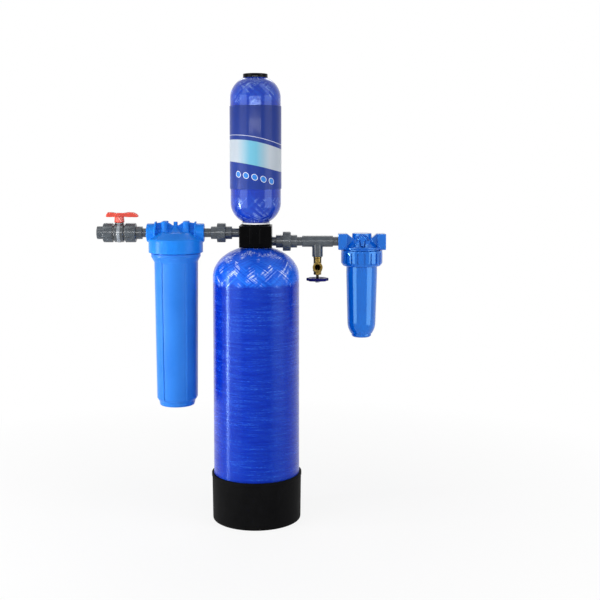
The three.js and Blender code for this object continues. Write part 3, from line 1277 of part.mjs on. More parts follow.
// Bowl with its flange between the ring nut's lip and the head's neck
const flangeZ = lipTopZ + GAP;
const flangeTopZ = flangeZ + BOWL_FLANGE_H;
const spigotTopZ = flangeTopZ + BOWL_SPIGOT_H;
const bowlTaperZ = flangeZ - BOWL_NECK_H;
const bowlRoundZ = bowlTaperZ - BOWL_TAPER_H;
const bowlFootZ = bowlRoundZ - BOWL_ROUND_H;
const bowlZ = bowlFootZ - BOWL_FOOT_H;
const bowlFloorZ = bowlZ + BOWL_FLOOR;
const bowlSeatZ = bowlFootZ + BOWL_SEAT_UP;
const bowlOringZ = spigotTopZ - BOWL_ORING_DOWN;
const bowlRound = (r, inset) => BOWL_ROUND_SHARES.map(([share, rise]) =>
  [r * share - inset, bowlFootZ + inset + (BOWL_ROUND_H - inset) * rise]).reverse();
piece(postfilter, "postfilter_bowl", cut(
  turned([
    [0, bowlZ],
    [BOWL_FOOT_R - BOWL_FOOT_EDGE, bowlZ],
    [BOWL_FOOT_R, bowlFootZ],
    ...bowlRound(BOWL_LOW_R, 0),
    [BOWL_LOW_R, bowlRoundZ],
    [BOWL_TOP_R, bowlTaperZ],
    [BOWL_TOP_R, flangeZ],
    [POST_NECK_R, flangeZ],
    [POST_NECK_R, flangeTopZ],
    [BOWL_SPIGOT_R, flangeTopZ],
    [BOWL_SPIGOT_R, spigotTopZ],
    [0, spigotTopZ],
  ], HOUSING_SIDES),
  turned([
    [0, bowlSeatZ + BOWL_PILOT_H],
    [BOWL_PILOT_R, bowlSeatZ + BOWL_PILOT_H],
    [BOWL_PILOT_R, bowlSeatZ],
    [BOWL_SEAT_R, bowlSeatZ],
    [BOWL_SEAT_R, bowlFloorZ],
    [BOWL_FOOT_R - BOWL_WALL, bowlFloorZ],
    ...bowlRound(BOWL_LOW_R, BOWL_WALL),
    [BOWL_LOW_R - BOWL_WALL, bowlRoundZ],
    [BOWL_TOP_R - BOWL_WALL, bowlTaperZ],
    [BOWL_TOP_R - BOWL_WALL, spigotTopZ + OVERRUN],
    [0, spigotTopZ + OVERRUN],
  ], HOUSING_SIDES),
  tube(BOWL_SPIGOT_R + OVERRUN, BOWL_SPIGOT_R - 2 * BOWL_ORING + GAP / 2,
    bowlOringZ - BOWL_ORING - GAP, bowlOringZ + BOWL_ORING + GAP, HOUSING_SIDES),
), POST_BLUE);
piece(postfilter, "postfilter_oring",
  oring(BOWL_SPIGOT_R - BOWL_ORING + GAP / 2, BOWL_ORING, bowlOringZ, HOUSING_SIDES), RUBBER);
cartridge(postfilter, "postfilter_cartridge", bowlSeatZ + GAP, postSeatZ - GAP);

export default system;
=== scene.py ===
# Whole house water filter: the looks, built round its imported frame.
# Shapes are drawn in millimetres in the place of their node, then brought to metres.

import json
import math

import bmesh
import bpy
from mathutils import Matrix, Vector


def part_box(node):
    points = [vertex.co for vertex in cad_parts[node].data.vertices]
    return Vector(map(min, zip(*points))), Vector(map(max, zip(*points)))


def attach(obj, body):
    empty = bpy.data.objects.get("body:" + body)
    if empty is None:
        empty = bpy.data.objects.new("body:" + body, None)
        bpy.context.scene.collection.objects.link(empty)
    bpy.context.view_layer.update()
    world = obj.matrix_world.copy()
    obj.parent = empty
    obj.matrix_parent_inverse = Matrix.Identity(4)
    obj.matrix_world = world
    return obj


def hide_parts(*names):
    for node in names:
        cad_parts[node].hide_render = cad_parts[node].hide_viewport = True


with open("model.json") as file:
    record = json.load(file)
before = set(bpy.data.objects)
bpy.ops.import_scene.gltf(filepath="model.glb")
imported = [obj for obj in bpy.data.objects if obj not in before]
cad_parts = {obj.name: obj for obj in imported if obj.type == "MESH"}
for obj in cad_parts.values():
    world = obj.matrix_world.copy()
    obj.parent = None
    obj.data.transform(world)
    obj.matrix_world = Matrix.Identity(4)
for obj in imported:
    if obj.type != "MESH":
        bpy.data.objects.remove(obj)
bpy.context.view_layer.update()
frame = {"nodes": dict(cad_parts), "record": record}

MM = 0.001
TAU = 2 * math.pi
QUARTER = math.pi / 2

# Fineness of the meshes
SIDES = 96
FINE_SIDES = 160
THREAD_SECTION_SIDES = 6
FILLET_STEPS = 4
DOME_STEPS = 28
WELD = 0.0005
NEAR_AXIS = 0.01
MOST_FILLET_SHARE = 0.48
CREASE = math.radians(40)
OVERRUN = 3
SOFTEN_SHARE = 0.5
SOFT_PASSES = 6

# Edges and fits that many pieces share
SMALL_EDGE = 0.6
FIT_PLAY = 0.3
ORING_PLAY = 0.3
THREAD_PLAY = 1

# Main tank and its boot, and the heights between which its hoops lie
TANK_R = 128.5
TANK_WALL = 6.5
TANK_DOME_H = 91
TANK_NECK_R = 45
TANK_NECK_BORE = 37.3
TANK_NECK_LIP = 0.4
TANK_HOOPS = (60, 716)
BOOT_R = 134
BOOT_WALL = 5.2
BOOT_FLOOR = 5
BOOT_FOOT_EDGE = 5
BOOT_RIM_H = 10
BOOT_RIM_EDGE = 1
BOOT_DRAFT = 1.6

# Manifold block and neck adapter
MANIFOLD_CORNER = 6
MANIFOLD_FOOT_R = 46.5
MANIFOLD_COLLAR_R = 44
MANIFOLD_COLLAR_H = 3.4
MANIFOLD_FACE = 48
MANIFOLD_BOSS_R = 37
MANIFOLD_RIB_W = 3.2
MANIFOLD_RIB_H = 44
MANIFOLD_RIB_OUT = 1.2
MANIFOLD_RIB_PITCH = 28
MANIFOLD_PORT_EYE_R = 21
MANIFOLD_EYE_OUT = 0.01
MANIFOLD_H = 63.4
MANIFOLD_FOOT_DROP = 2.5
MANIFOLD_GRAIN = 1
MANIFOLD_SOFT_PASSES = 4
ORING_GROOVE_R = 40.3
RECESS_R = 33.3
RECESS_H = 15
ADAPTER_R = 42
ADAPTER_LOWER_R = 33
ADAPTER_UPPER_R = 27.5
ADAPTER_BORE = 20
ADAPTER_LOWER_H = 12
ADAPTER_H = 4.5
ADAPTER_EDGE = 0.8

# Upper tank and the heights between which its hoops lie, its sleeve and cap
UPPER_R = 74.5
UPPER_WALL = 5.4
UPPER_DOME_H = 66
UPPER_NECK_R = 36.6
UPPER_NECK_BORE = 27.8
UPPER_NECK_LIP = 0.4
UPPER_HOOPS = (970, 1246)
CAP_R = 36.4
CAP_H = 11.6
CAP_EDGE = 2.4
CAP_PLUG_R = 27.5
CAP_DISH_R = 26
CAP_DISH_H = 1.2
CAP_FOOT_EDGE = 0.8
CAP_ORING_PLAY = 0.3
SLEEVE_T = 1.4
SLEEVE_SHRINK = 0.6
SLEEVE_ROLL = 1

# Pipes and unions
PIPE_R = 13.6
PIPE_BORE = 9.7
SOCKET_R = 13.9
SOCKET_DEPTH = 15
HUB_R = 19.2
HUB_EDGE = 1.6
FLANGE_R = 23.3
THREAD_R = 24.9
NUT_R = 28.7
NUT_RIBS = 16
NUT_EDGE = 4.5
NUT_OPEN_EDGE = 1.4
NUT_LIP = 5
NUT_GROOVE_W = 4.4
NUT_GROOVE_DEPTH = 1.5
NUT_GROOVE_ROUND = 1.2
FLANGE_T = 4
THREAD_ROOT_R = 24.2
UNION_THREAD_TIP = 0.8
UNION_THREAD_PITCH = 3
UNION_THREAD_TURNS = 4.0
UNION_THREAD_START = 1.5

# Shut-off valve
VALVE_NECK_R = 23.5
VALVE_BULGE_R = 28.3
VALVE_BULGE_W = 28
VALVE_BAND_W = 9
VALVE_BAND_OUT = 1
VALVE_TOWER_R = 13.2
VALVE_TOWER_UP = 30.6
VALVE_STEM_BORE = 7
VALVE_ROOT = 1.5
VALVE_EDGE = 3
VALVE_TOWER_BAND_OUT = 0.7
VALVE_GRAIN = 0.7
VALVE_SOFT_PASSES = 5
HANDLE_HUB_R = 15.3
HANDLE_HUB_TAPER = 1.6
HANDLE_HUB_H = 18
HANDLE_LONG = 58
HANDLE_SHORT = 40
HANDLE_BAR_H = 15.4
HANDLE_BAR_DROP = 2.8
HANDLE_BAR_W = 13
HANDLE_ROUND = 5
HANDLE_EDGE = 2.2
HANDLE_GRAIN = 0.55
STEM_HOLE_R = 6.3
HANDLE_LONG_SHARES = [(0.2, 0.1), (0.45, 0.02), (0.92, 0), (1, 0.14), (0.93, 0.62), (0.74, 0.95),
                      (0.5, 1), (0.22, 0.84)]
HANDLE_SHORT_SHARES = [(0.25, 0.86), (0.5, 0.98), (0.84, 0.98), (0.94, 0.6), (1, 0.16), (0.92, 0.02),
                       (0.5, 0.04)]

# Prefilter cap and sump
PRE_PORT_R = 27.7
PRE_PORT_W = 24
PRE_SADDLE_R = 13.5
PRE_WEB_UP = 21
PRE_WEB_BOSS_UP = 31.5
PRE_WEB_FIN_UP = 28
PRE_WEB_W = 7
PRE_FIN_R = 33.4
PRE_FIN_W = 4.4
PRE_FIN_TOP = 14
PRE_SKIRT_R = 80.5
PRE_SKIRT_H = 40.4
PRE_SKIRT_DROP = 58.4
PRE_CROWN_R = 50
PRE_CROWN_H = 20
PRE_BOSS_R = 8.6
PRE_BOSS_X = 31.5
PRE_BOSS_Y = 15
PRE_BOSS_UP = 34.6
PRE_SCREW_R = 2.6
PRE_SCREW_H = 12
PRE_NUB_R = 6.2
PRE_NUB_UP = 33
PRE_FLARE_R = 40
PRE_FLARE_Z = -4
PRE_FLARE_SHARES = [(1, 0), (0.68, 0.2), (0.44, 0.34), (0.28, 0.48), (0.19, 0.6)]
PRE_BOSS_FOOT_R = 12
PRE_BOSS_FOOT_UP = 20
PRE_BORE_R = 71.5
PRE_ROOF_UP = 38
PRE_PORT_EDGE = 3.5
PRE_SKIRT_EDGE = 5
PRE_SKIRT_FOOT_EDGE = 1.5
PRE_CROWN_EDGE = 9
PRE_FIN_ROUND = 4
PRE_GRAIN = 1.1
SUMP_THREAD_R = 69.3
SUMP_THREAD_TIP = 1.5
SUMP_THREAD_PITCH = 6
SUMP_FLANGE_R = 73.3
SUMP_FLANGE_H = 9
SUMP_CONE_H = 17
SUMP_TOP_R = 64
SUMP_LOW_R = 60
SUMP_STEP_H = 9
SUMP_FOOT_R = 54
SUMP_FOOT_LOW_R = 51.3
SUMP_FOOT_H = 13
SUMP_WALL = 5
SUMP_FLOOR = 8
SUMP_SEAM = 2.4
SUMP_FOOT_EDGE = 3
SUMP_STEP_EDGE = 1.5
SUMP_CONE_EDGE = 3
SUMP_GROOVE_R = 65.1
SUMP_GROOVE_H = 2.2
SUMP_MOUTH_R = 60.1
SUMP_PILOT_R = 11
SUMP_PILOT_H = 7
SUMP_THREAD_TURNS = 4.0
SUMP_THREAD_START = 4
SUMP_RIB_ROUND = 1.6
SUMP_RIB_LIFT = 3
SUMP_RIBS = 5
SUMP_RIB_W = 8
SUMP_RIB_OUT = 2.2

# Drain tee and drain valve
TEE_R = 16.9
TEE_BRANCH_R = 16.1
TEE_BRANCH_DROP = 45.8
TEE_GRAIN = 0.7
TEE_SOFT_PASSES = 12
TEE_THREAD_BORE = 10.8
DRAIN_THREAD_R = 10.5
DRAIN_BORE = 6
DRAIN_CHAMBER_R = 9.2
BRASS_EDGE = 0.8
BRASS_GRAIN = 0.5
PACKING_SIDES = 6
BARREL_R = 12.6
BARREL_H = 43.4
BARREL_COLLAR_R = 13.6
BARREL_COLLAR_H = 5
SPOUT_DOWN = 28.5
SPOUT_R = 13.2
SPOUT_LIP_R = 14.9
SPOUT_LIP_W = 4
SPOUT_LENGTH = 36
SPOUT_BORE = 9
PACKING_R = 11.6
PACKING_H = 10
PACKING_SHANK_R = 8.6
STEM_R = 4.2
WHEEL_R = 33
WHEEL_T = 8.6
WHEEL_LOBES = 8
WHEEL_LOBE_R = 7.4
WHEEL_VALLEY_R = 29.6
WHEEL_EDGE = 2
WHEEL_GRAIN = 0.5
WHEEL_WINDOWS = 4
WHEEL_WINDOW_R = 5.2
WHEEL_WINDOW_OUT = 17.5
WHEEL_HUB_R = 9
WHEEL_HUB_H = 11
WHEEL_SCREW_R = 6.1
WHEEL_SCREW_H = 2.6
WHEEL_SCREW_ROUND = 1.2
WHEEL_SHANK_R = 1.8
WHEEL_SLOT_W = 1.4
WHEEL_SLOT_DEPTH = 1

# Post filter
POST_PORT_DROP = 24.4
POST_PORT_RISE = 23.4
POST_PORT_D = 46
POST_BRIDGE_D = 30
POST_PORT_FLAT = 26.5
POST_PORT_SLOPE = 15
POST_SADDLE_DROP = 12.6
POST_CROWN_R = 28.6
POST_CROWN_ROOT_R = 29.5
POST_CROWN_RISE = 24.6
POST_CONE_R = 48
POST_CONE_H = 22
POST_RIM_R = 59
POST_RIM_H = 3.6
POST_RIM_DROP = 19.6
POST_UNDER_R = 55
POST_UNDER_H = 1.4
POST_NECK_R = 52.6
POST_NECK_BORE = 48.3
POST_NECK_H = 32.5
POST_THREAD_TIP = 1.2
POST_THREAD_PITCH = 5
POST_THREAD_TURNS = 4.0
POST_THREAD_START = 5
POST_ROOF_H = 5
POST_PORT_EDGE = 2.5
POST_CONE_ROOT = 2
POST_CROWN_EDGE = 1.5
POST_GRAIN = 0.7
POST_HOOD_R = 21
POST_HOOD_Y = 37
POST_HOOD_UP = 1
POST_ARCH_R = 19.5
POST_ARCH_W = 4
POST_ARCH_IN = 5
POST_ARCH_LOW = 3
POST_PLUG_TOP = 6
POST_PLUG_LOW = -11
POST_PLUG_TOP_W = 13
POST_PLUG_LOW_W = 8
POST_SLIT_W = 3.4
POST_SLIT_Y = 31
RING_R = 61.5
RING_RIBS = 20
RING_RIB_H = 3.2
RING_RIB_W = 14.2
RING_BAND_H = 6
RING_ROUND_H = 10
RING_ROUND_IN = 6
RING_BORE = 54.9
RING_LIP_BORE = 47
RING_LIP_H = 8
RING_EDGE = 1
RING_PHASE = math.radians(4.4)
BOWL_TOP_R = 46
BOWL_LOW_R = 42.2
BOWL_FLANGE_R = 53.6
BOWL_FLANGE_H = 6
BOWL_SPIGOT_R = 48
BOWL_SPIGOT_H = 19
BOWL_NECK_H = 35
BOWL_TAPER_H = 137
BOWL_ROUND_H = 38
BOWL_FOOT_R = 29.5
BOWL_FOOT_EDGE = 4
BOWL_ROOT = 0.8
BOWL_WALL = 4
BOWL_SEAT_UP = 12
BOWL_SEAT_R = 20
BOWL_PILOT_R = 11
BOWL_PILOT_H = 6
BOWL_ROUND_SHARES = [(0.995, 0.84), (0.985, 0.68), (0.965, 0.54), (0.94, 0.42), (0.9, 0.3),
                     (0.86, 0.2), (0.81, 0.09), (0.76, 0)]

# Winding of the tanks. One fibre is too fine to show, so they are drawn as strands this wide
BAND_LEAN_SHARE = 1.15
BAND_W = 8
CROSSING = 30
HOOP_RAGGED = 40
HOOP_FADE = 5
FIBRE_W = 1.6
FIBRE_RUN_SHARE = 60
ROVING_W = 5
ROVING_RUN_SHARE = 16
SPECK_W = 3
SPECK_RUN_SHARE = 2.6
SPECK_THIN_SHARE = 0.7
BLOTCH_W = 34
BLOTCH_TALL_SHARE = 1.4

# Shares of the winding's patterns between which a tone or the gloss changes
CROSSING_SHARES = (0.4, 0.6)
LINE_SHARES = (0.38, 0.62)
# Pale streaks along the hoops, partly fibre strands and partly painted glints
STRAND_AND_GLINT_SHARES = (0.5, 0.66)
STRAND_AND_GLINT_SPECK_SHARES = (0.45, 0.7)
BAND_SHARES = (0.32, 0.66)
# Pale flashes on the domes, partly dry fibre and partly painted glints
DRY_AND_GLINT_BAND_SHARES = (0.48, 0.6)
DRY_AND_GLINT_PATCH_SHARES = (0.48, 0.56)
DRY_AND_GLINT_SPECK_SHARES = (0.35, 0.55)
GLOSS_SHARES = (0.4, 0.6)
NECK_FADE_SHARE = 0.3
NECK_DEEP_SHARE = 0.75
FINE_SHARE = 0.5
MEAN_SHARE = 0.5

# Skins of the mouldings
CLOUD_SHARES = (0.3, 0.7)
CLOUD_GLOSS_SHARE = 0.1
GRAIN_GLOSS_SHARE = 0.02
BUMP_SHARE = 0.6

# Print on the sleeve: a stripe at heights over the floor, a rule above it and rings below it
STRIPE_TOP_Z = 1132.8
STRIPE_LOW_Z = 1063.7
STRIPE_TOP_SLOPE = 14.1
STRIPE_TOP_SAG = 8.4
STRIPE_LOW_SLOPE = 15.9
STRIPE_LOW_SAG = 4.2
STRIPE_SOFT = 0.4
PRINT_SOFT = 0.3
RULE_ABOVE = 13
RULE_W = 1.2
RING_MOTIF_BELOW = 34
RING_MOTIF_PITCH = 26
RING_MOTIF_R = 8.5
RING_MOTIF_LINE = 1.5
RING_MOTIF_REACH = 62
GLOW_LEFT_SHARE = 0.05
GLOW_SHARES = (0.12, 0.62)
INK_LOW = "#1a3890"
INK_HIGH = "#0e2c7e"
STRIPE_PALE = "#b8c2cc"
STRIPE_CYAN = "#6cb6d0"
DISC_BLUE = "#2f7fd6"
MARK_WHITE = "#e6ecf4"
FILM_CLOUD = 40
FILM_CLOUD_TALL_SHARE = 3
FILM_ROUGHNESS = (0.28, 0.38)

# How sRGB colours turn to linear ones, and where a mix takes its two values or colours
SRGB_TOE = 0.04045
SRGB_TOE_SLOPE = 12.92
SRGB_OFFSET = 0.055
SRGB_POWER = 2.4
FIRST_VALUE, OTHER_VALUE = 2, 3
FIRST_COLOUR, OTHER_COLOUR = 6, 7

# Floor, in millimetres like the pieces
FLOOR_R = 12000
FLOOR_T = 20

# Studio, in metres and watts
WHITE = "#ffffff"
FLOOR_PAPER = "#f4f4f4"
FLOOR_ROUGHNESS = 0.9
FLOOR_GLOW_SHARE = 0.86
FLOOR_FADE_FROM = 0.5
FLOOR_FADE_TO = 1.6
FILL_LIGHT = 0.12
SOFTBOX_AWAY = 2.2
SOFTBOX_Z = 0.75
SOFTBOX_H = 2.0
LOW_STRIP_Z = 0.3
LOW_STRIP_H = 1.0
# Side softboxes: name, azimuth in degrees, width, level, height and watts
SIDE_SOFTBOXES = [
    ("left_softbox", -54, 1.4, SOFTBOX_Z, SOFTBOX_H, 23),
    ("left_strip", -77, 0.22, LOW_STRIP_Z, LOW_STRIP_H, 31),
    ("right_softbox", 61, 1.4, SOFTBOX_Z, SOFTBOX_H, 21),
]
# High softboxes: name, azimuth in degrees and watts
HIGH_SOFTBOXES = [
    ("high_left_softbox", -53, 12),
    ("high_right_softbox", 61, 12),
]
HIGH_AWAY = 1.75
HIGH_Z = 2.9
HIGH_AIM = (0, 0, 1.2)
HIGH_W = 0.9
HIGH_H = 2.5
STRIP_PLACE = (0, -2.6, 1.36)
STRIP_AIM = (0, 0, 0.85)
STRIP_W = 2.6
STRIP_D = 0.12
STRIP_WATTS = 19
REAR_BOX_PLACE = (0, 2.4, 2.9)
REAR_BOX_AIM = (0, 0, 0.7)
REAR_BOX_W = 2.0
REAR_BOX_D = 1.2
REAR_BOX_WATTS = 22

# Camera: its place in metres, its tilt in degrees from straight down, its film and lens
CAMERA_PLACE = (0.131, -3.113, 1.0792)
CAMERA_TILT = 84.993
CAMERA_FILM_W = 36
CAMERA_LENS = 63
CAMERA_SHIFT_SHARE = -0.08

# Places of the sub-parts, read from the frame


def box_mm(node):
    """The low and high corner of a node's box, in millimetres"""
    low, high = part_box(node)
    return low / MM, high / MM


def middle(node, axis):
    """The middle of a node's box along an axis"""
    low, high = box_mm(node)
    return (low[axis] + high[axis]) / 2


def half_length(node):
    """Half the length of a node along X"""
    low, high = box_mm(node)
    return (high[X] - low[X]) / 2


def dome_rise(radius, height, neck):
    """How far an elliptic end rises from the side of a tank to its neck"""
    return height * math.sin(math.acos(neck / radius))


def to_side(side):
    """Turns what stands on Z to lie along X, to the left for -1 and to the right for 1"""
    return Matrix.Rotation(side * QUARTER, 4, "Y")


X, Y, Z = 0, 1, 2
INLET_Z = middle("inlet_end_connector", Z)
OUTLET_Z = middle("tee_inlet_nipple", Z)
VALVE_X = middle("valve_stem", X)
PRE_X = middle("prefilter_cap", X)
TEE_X = middle("drain_tee", X)
POST_X = middle("postfilter_head", X)
HERE = Matrix.Identity(4)
ALONG_X = to_side(1)
TO_FRONT = Matrix.Rotation(QUARTER, 4, "X")
ON_INLET = Matrix.Translation((0, 0, INLET_Z)) @ ALONG_X
ON_OUTLET = Matrix.Translation((0, 0, OUTLET_Z)) @ ALONG_X
AT_VALVE = Matrix.Translation((VALVE_X, 0, INLET_Z))
AT_PREFILTER = Matrix.Translation((PRE_X, 0, INLET_Z))
AT_TEE = Matrix.Translation((TEE_X, 0, OUTLET_Z))
AT_POSTFILTER = Matrix.Translation((POST_X, 0, OUTLET_Z))
TANK_ENDS = (box_mm("main_tank")[0][Z] + TANK_DOME_H,
             box_mm("main_tank")[1][Z] - TANK_NECK_LIP - dome_rise(TANK_R, TANK_DOME_H, TANK_NECK_R))
UPPER_REACH = UPPER_NECK_LIP + dome_rise(UPPER_R, UPPER_DOME_H, UPPER_NECK_R)
UPPER_ENDS = (box_mm("upper_tank_shell")[0][Z] + UPPER_REACH,
              box_mm("upper_tank_shell")[1][Z] - UPPER_REACH)

# Shapes


def shaped(shape):
    """A bmesh closed up as an object, its faces pointing outwards"""
    bmesh.ops.remove_doubles(shape, verts=shape.verts, dist=WELD)
    bmesh.ops.recalc_face_normals(shape, faces=shape.faces)
    mesh = bpy.data.meshes.new("shape")
    shape.to_mesh(mesh)
    shape.free()
    made = bpy.data.objects.new("shape", mesh)
    bpy.context.scene.collection.objects.link(made)
    return made


def rounded(outline):
    """An outline of (across, along, fillet) corners, with a curve of points at each fillet"""
    points = []
    for i, corner in enumerate(outline):
        here = Vector(corner[:2])
        if len(corner) < 3 or not corner[2]:
            points.append(here)
            continue
        back = Vector(outline[i - 1][:2]) - here
        ahead = Vector(outline[(i + 1) % len(outline)][:2]) - here
        reach = corner[2] / math.tan(back.angle(ahead) / 2)
        reach = min(reach, back.length * MOST_FILLET_SHARE, ahead.length * MOST_FILLET_SHARE)
        start = here + back.normalized() * reach
        end = here + ahead.normalized() * reach
        for step in range(FILLET_STEPS + 1):
            share = step / FILLET_STEPS
            points.append(start.lerp(here, share).lerp(here.lerp(end, share), share))
    return points


def turned(outline, sides=SIDES):
    """An outline of (radius, height, fillet) corners turned about Z. It starts and ends on the
    axis, or closes on itself."""
    shape = bmesh.new()
    points = rounded(outline)
    rings = []
    for radius, height in points:
        angles = [TAU * i / sides for i in range(sides if radius > NEAR_AXIS else 1)]
        rings.append([shape.verts.new((radius * math.cos(a), radius * math.sin(a), height))
                      for a in angles])
    on_axis = len(rings[0]) == 1
    following = rings[1:] if on_axis else rings[1:] + rings[:1]
    for one, other in zip(rings, following):
        for i in range(sides):
            j = (i + 1) % sides
            corners = list(dict.fromkeys([one[i % len(one)], one[j % len(one)],
                                          other[j % len(other)], other[i % len(other)]]))
            if len(corners) > 2:
                shape.faces.new(corners)
    return shaped(shape)


def bar(radius, low, high, fillet=0):
    """A round bar from one height to another"""
    return turned([(0, low), (radius, low, fillet), (radius, high, fillet), (0, high)])


def tube(radius, bore, low, high, fillet=0):
    """A bar with a bore"""
    return turned([(bore, low), (radius, low, fillet), (radius, high, fillet), (bore, high)])


def prism(outline, low, high):
    """An outline of (x, y, fillet) corners pushed along Z"""
    shape = bmesh.new()
    points = rounded(outline)
    floor = [shape.verts.new((x, y, low)) for x, y in points]
    top = [shape.verts.new((x, y, high)) for x, y in points]
    shape.faces.new(floor)
    shape.faces.new(top)
    for i in range(len(points)):
        j = (i + 1) % len(points)
        shape.faces.new((floor[i], floor[j], top[j], top[i]))
    return shaped(shape)


def block(wide, deep, high, centre, fillet=0):
    """A block round a centre, with its upright edges rounded"""
    half_w, half_d = wide / 2, deep / 2
    made = prism([(-half_w, -half_d, fillet), (half_w, -half_d, fillet), (half_w, half_d, fillet),
                  (-half_w, half_d, fillet)], -high / 2, high / 2)
    return moved(made, Matrix.Translation(centre))


def moved(made, matrix):
    """An object with its mesh moved and turned"""
    made.data.transform(matrix)
    return made


def settle(made):
    """Applies the modifiers of an object"""
    graph = bpy.context.evaluated_depsgraph_get()
    mesh = bpy.data.meshes.new_from_object(made.evaluated_get(graph))
    made.modifiers.clear()
    made.data = mesh
    return made


def bevelled(made, width):
    """Rounds the sharp edges of an object"""
    edges = made.modifiers.new("edges", "BEVEL")
    edges.width = width
    edges.segments = FILLET_STEPS
    edges.limit_method = "ANGLE"
    return settle(made)


def combined(base, others, operation):
    """An object that others are joined to or cut from, and then removed"""
    for other in others:
        step = base.modifiers.new("combined", "BOOLEAN")
        step.operation = operation
        step.solver = "MANIFOLD"
        step.object = other
    settle(base)
    for other in others:
        bpy.data.objects.remove(other)
    return base


def joined(base, *others):
    return combined(base, others, "UNION")


def cut(base, *others):
    return combined(base, others, "DIFFERENCE")


def socket(face, turn):
    """The room for a pipe's end, from a face inwards"""
    return moved(bar(SOCKET_R, face - SOCKET_DEPTH, face + OVERRUN), turn)


def moulded(base, grain, passes=SOFT_PASSES):
    """One skin over all that was joined, with the soft inner and outer edges of a moulding"""
    skin = base.modifiers.new("skin", "REMESH")
    skin.mode = "VOXEL"
    skin.voxel_size = grain
    soften = base.modifiers.new("soften", "SMOOTH")
    soften.factor = SOFTEN_SHARE
    soften.iterations = passes
    return settle(base)


def link(tree, source, target):
    """Links a socket, or the first output in use of a node, to an input"""
    if isinstance(source, bpy.types.Node):
        source = next(output for output in source.outputs if output.enabled)
    tree.links.new(source, target)


def add(tree, kind, inputs=None, **settings):
    """A node with its settings and links; a node or socket among its inputs' values is linked"""
    made = tree.nodes.new(kind)
    for name, value in settings.items():
        setattr(made, name, value)
    for name, value in (inputs or {}).items():
        for one in value if isinstance(value, tuple) else [value]:
            if isinstance(one, (bpy.types.Node, bpy.types.NodeSocket)):
                link(tree, one, made.inputs[name])
            else:
                made.inputs[name].default_value = one
    return made


def tree_with(name, sockets):
    """A geometry tree with named inputs after its geometry, and the sockets that give them"""
    tree = bpy.data.node_groups.new(name, "GeometryNodeTree")
    face = tree.interface
    face.new_socket("Geometry", in_out="INPUT", socket_type="NodeSocketGeometry")
    for label, kind in sockets.items():
        face.new_socket(label, in_out="INPUT", socket_type=kind)
    face.new_socket("Geometry", in_out="OUTPUT", socket_type="NodeSocketGeometry")
    return tree, tree.nodes.new("NodeGroupInput").outputs


def finish_tree(tree, geometry, finish):
    """Ends a tree in real geometry with its material"""
    real = add(tree, "GeometryNodeRealizeInstances", {"Geometry": geometry})
    done = add(tree, "GeometryNodeSetMaterial", {"Geometry": real, "Material": finish})
    add(tree, "NodeGroupOutput", {"Geometry": done})


def round_tree(operation):
    """Copies of a piece at even steps round the axis, joined to a body or cut from it"""
    tree, given = tree_with("copies_round_the_axis_" + operation.lower(), {
        "Copied piece": "NodeSocketObject",
        "Count": "NodeSocketInt",
        "First angle": "NodeSocketFloat",
        "Finish": "NodeSocketMaterial",
    })
    points = add(tree, "GeometryNodePoints", {"Count": given["Count"]})
    step = add(tree, "ShaderNodeMath", {0: TAU, 1: given["Count"]}, operation="DIVIDE")
    index = add(tree, "GeometryNodeInputIndex")
    angle = add(tree, "ShaderNodeMath", {
        0: index, 1: step, 2: given["First angle"]}, operation="MULTIPLY_ADD")
    turn = add(tree, "ShaderNodeCombineXYZ", {"Z": angle})
    source = add(tree, "GeometryNodeObjectInfo", {"Object": given["Copied piece"]})
    copies = add(tree, "GeometryNodeInstanceOnPoints", {
        "Points": points, "Instance": source.outputs["Geometry"], "Rotation": turn})
    copied = add(tree, "GeometryNodeRealizeInstances", {"Geometry": copies})
    sources = {"Mesh 1": given["Geometry"], "Mesh 2": copied}
    if operation == "UNION":
        sources = {"Mesh 2": (given["Geometry"], copied)}
    body = add(tree, "GeometryNodeMeshBoolean", sources, operation=operation, solver="MANIFOLD")
    finish_tree(tree, body, given["Finish"])
    return tree


def thread_tree():
    """A screw thread on a neck: a blunt rib that climbs round the axis"""
    tree, given = tree_with("screw_thread", {
        "Radius": "NodeSocketFloat",
        "Tip": "NodeSocketFloat",
        "Pitch": "NodeSocketFloat",
        "Turns": "NodeSocketFloat",
        "Start height": "NodeSocketFloat",
        "Finish": "NodeSocketMaterial",
    })
    height = add(tree, "ShaderNodeMath", {0: given["Pitch"], 1: given["Turns"]}, operation="MULTIPLY")
    path = add(tree, "GeometryNodeCurveSpiral", {
        "Resolution": SIDES,
        "Rotations": given["Turns"],
        "Start Radius": given["Radius"],
        "End Radius": given["Radius"],
        "Height": height,
    })
    section = add(tree, "GeometryNodeCurvePrimitiveCircle", {
        "Resolution": THREAD_SECTION_SIDES, "Radius": given["Tip"]})
    rib = add(tree, "GeometryNodeCurveToMesh", {
        "Curve": path, "Profile Curve": section, "Fill Caps": True})
    lift = add(tree, "ShaderNodeCombineXYZ", {"Z": given["Start height"]})
    placed = add(tree, "GeometryNodeTransform", {"Geometry": rib, "Translation": lift})
    body = add(tree, "GeometryNodeMeshBoolean", {
        "Mesh 2": (given["Geometry"], placed)}, operation="UNION", solver="MANIFOLD")
    finish_tree(tree, body, given["Finish"])
    return tree


def grown(base, tree, values):
    """Runs a geometry tree on an object with values for its named inputs, and keeps the mesh"""
    step = base.modifiers.new("grown", "NODES")
    step.node_group = tree
    for item in tree.interface.items_tree:
        if item.in_out == "INPUT" and item.name in values:
            step[item.identifier] = values[item.name]
    return settle(base)


ROUND = {operation: round_tree(operation) for operation in ("UNION", "DIFFERENCE")}
THREAD = thread_tree()


def round_the_axis(base, copied, count, finish, first_angle=0.0, operation="UNION"):
    """Joins or cuts even copies of a piece round the axis of a body"""
    grown(base, ROUND[operation], {
        "Copied piece": copied, "Count": count, "First angle": first_angle, "Finish": finish})
    bpy.data.objects.remove(copied)
    return base


